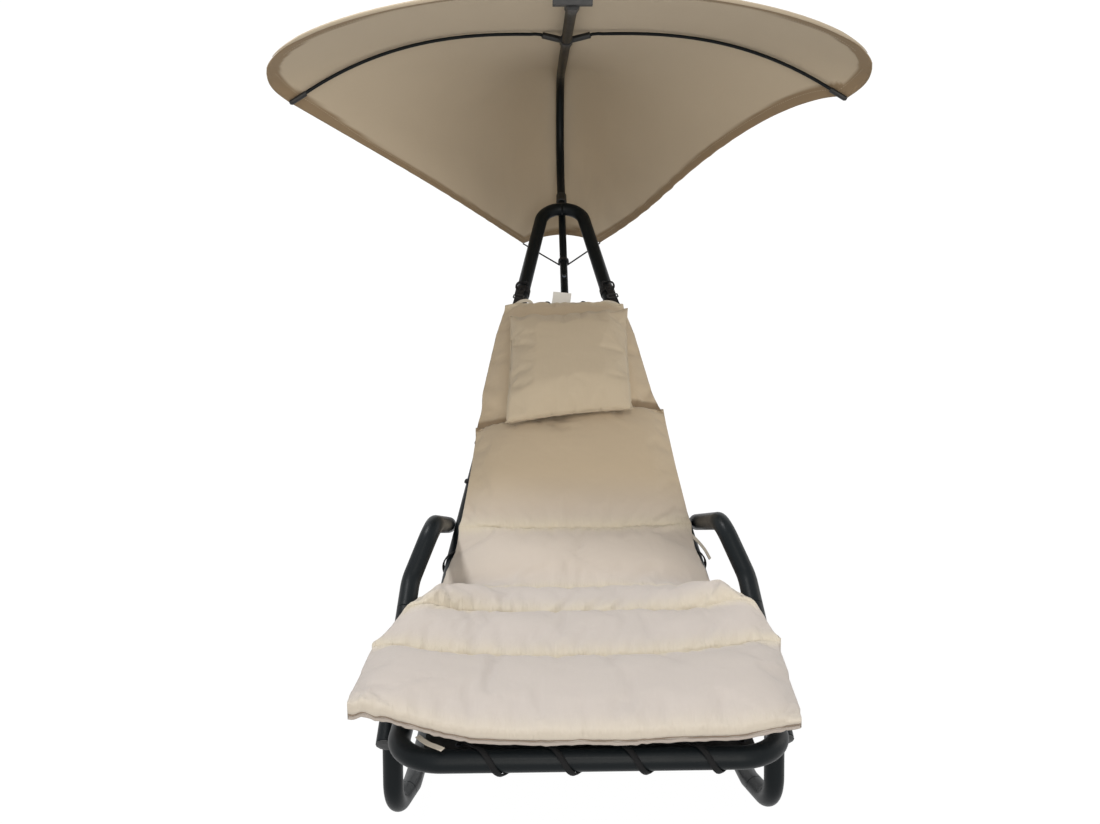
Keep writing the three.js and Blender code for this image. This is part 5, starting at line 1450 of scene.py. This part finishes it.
def cover_skin(i, j):
    """Where the cover lies at row i and column j, drawn up in puckers along its tight hem and a
    little slack elsewhere, with its normal and how far it is hem there."""
    row, share, p = row_shares[i], column_shares[j], middle[i][j]
    right = 1 if share > 0 else 0
    before, after = middle[max(i - 1, 0)][j], middle[min(i + 1, len(middle) - 1)][j]
    one, other = middle[i][max(j - 1, 0)], middle[i][min(j + 1, COVER_COLUMNS)]
    normal = (other - one).cross(after - before).normalized()

    near_side = off_line(p, side_edges[right][max(0, i - 14):i + 15]) if abs(share) > 0.6 else 1.0
    near_front = off_line(p, middle[0][max(0, j - 14):j + 15]) if row < 0.5 else 1.0
    near_tail = off_line(p, middle[-1][max(0, j - 10):j + 11]) if row > 1.75 else 1.0
    near = min(near_side, near_front, near_tail)
    hemmed = 1 - smooth((near - hem_width(row, right)) / 0.006 + 0.3)

    pull = smooth((row - 1.02) / 0.1) * (1.0 if right else 0.4)
    tight = math.exp(-max(0.0, near - 0.016) / 0.028) * pull
    run = row * 74 if near_side <= near_tail else share * 22
    uneven = 0.3 + 0.7 * max(0.0, min(1.0, noise.noise(Vector((run * 0.13, right * 5 + 2, 1))) * 1.5 + 0.5))
    wander = 2.4 * noise.noise(Vector((run * 0.6, right * 9, 0)))
    ripple = math.sin(run * 2 * math.pi + wander) * HEM_PUCKER * tight * uneven
    slack = COVER_SLACK * noise.noise(Vector((p.x * 2.2, p.y * 2.2, 4.0)))
    fan = Vector((math.atan2(p.x, 0.9 - p.y) * 16, 7.0, row))
    radial = COVER_FAN * noise.noise(fan) * smooth((row - 1.1) / 0.5)
    return p + normal * (ripple + (slack + radial) * (1 - hemmed * 0.7)), normal, hemmed


skin = [[cover_skin(i, j) for j in range(COVER_COLUMNS + 1)] for i in range(len(row_shares))]
upper = [[p + normal * COVER_HALF_THICK for p, normal, _ in line] for line in skin]
lower = [
    [p - normal * (COVER_HALF_THICK + HEM_EXTRA_THICK * hemmed) for p, normal, hemmed in line] for line in skin
]
hem_shade_marks = [hemmed for line in skin for _, _, hemmed in line]
points, faces = case(upper, lower)
cut = [(p.x * 1.08, row * 0.75) for grid in (upper, lower) for row, line in zip(row_shares, grid) for p in line]
cover = mesh_piece("cover", points, faces, canvas, "canopy", "canopy_cloth", ["canopy_cover"], cut)
outward(cover)
# The hem's painted shade: full on the underside, weaker on top.
mark(cover, "hem", [0.3 * hemmed for hemmed in hem_shade_marks] + hem_shade_marks)

ROLL, ROLL_AHEAD = 0.0044, 0.0047
roll_line = []
front_ends = cover_edges(0.0)
for share in column_shares[5:-5]:
    edge, facing = cover_point(front_ends, 0.0, share), cover_normal(0.0, share)
    before, after = [cover_point(front_ends, 0.0, max(-1.0, min(1.0, share + step))) for step in (-0.01, 0.01)]
    out = (after - before).cross(facing).normalized()
    roll_line.append(edge + out * ROLL_AHEAD * min(1.0, (1 - abs(share)) / 0.06))


def roll_radius(i):
    """The front roll is a little uneven and thins out at both ends."""
    taper = min(1.0, 0.15 + i / 12, 0.15 + (len(roll_line) - 1 - i) / 12)
    return (ROLL + 0.0003 * noise.noise(Vector((i * 0.9, 0, 0)))) * taper


points, faces, cut = swept(roll_line, roll_radius, 14)
roll_nodes = ["canopy_front_hem"]
front_roll = mesh_piece("front_roll", points, faces, canvas, "canopy", "canopy_cloth", roll_nodes, cut)


def inset_line(walks, depths):
    """Where the cloth is so deep in from its edge, walking inwards from each edge point."""
    found, lifts = [], []
    for walk, depth in zip(walks, depths):
        passed = 0.0
        for a, b in zip(walk, walk[1:]):
            step = (b - a).length
            if passed + step >= depth:
                found.append(a.lerp(b, (depth - passed) / step))
                lifts.append((b - a).normalized())
                break
            passed += step
    return found, lifts


SEAM_IN, HEM_STITCH_GAP, HEM_STITCH_HALF = 0.004, 0.0072, 0.0023
hem_stitches = []
for grid, facing in ((upper, 1), (lower, -1)):
    side_rows = row_shares[8:-2]
    front_columns, tail_columns = range(8, COVER_COLUMNS - 7), range(12, COVER_COLUMNS - 11)
    runs = [
        ([line[::-1] for line in grid[8:-2]], [hem_width(row, True) for row in side_rows]),
        (grid[8:-2], [hem_width(row, False) for row in side_rows]),
        ([[line[j] for line in grid] for j in front_columns], [BROAD_HEM] * COVER_COLUMNS),
        ([[line[j] for line in reversed(grid)] for j in tail_columns],
         [hem_width(2, column_shares[j] > 0) for j in tail_columns]),
    ]
    for walks, widths in runs:
        line, inward = inset_line(walks, [width - SEAM_IN for width in widths])
        lifts = []
        for k, step in enumerate(inward):
            lift = run_at(line, k).cross(step).normalized()
            lifts.append(lift if lift.z * facing > 0 else -lift)
        hem_stitches += stitch_run(line, lifts, HEM_STITCH_GAP)
scattered("cover_stitches", hem_stitches, "Half length", HEM_STITCH_HALF, stitch_part, sewing_thread,
          "canopy")

# ---- Tension cords -------------------------------------------------------------------------
# Two short elastic cords pull the cover's rear corners to a ring on the mast.
TENSION_CORD = 0.0023
cord_foot, cord_top = spot(12.1, 1630.1, 1042.3), spot(120.3, 1874.3, 1099.0)
cord_line = [cord_foot.lerp(cord_top, i / 12) for i in range(13)]
for side, turned in SIDES:
    points, faces, cut = swept(turned(cord_line), TENSION_CORD, 10)
    mesh_piece(f"corner_cord_{side}", points, faces, bungee, "canopy", "elastic_cord",
               [f"tension_cord_{side}"], cut)

# ---- Carried-over CAD nodes ----------------------------------------------------------------
# Every node that still shows takes the finish of its slot.
finishes = {
    "powder_coated_steel": powder_coat, "black_plastic": moulding, "bolt_metal": zinc, "elastic_cord": bungee,
    "strap_webbing": mesh_cloth, "sling_mesh": mesh_cloth, "cushion_cloth": cushion_cloth,
    "pillow_cloth": pillow_cloth, "canopy_cloth": canvas,
}
for node in frame["nodes"].values():
    for held_slot in node.material_slots:
        finish = finishes.get(held_slot.name.split(".")[0])
        if finish:
            held_slot.material = finish.material
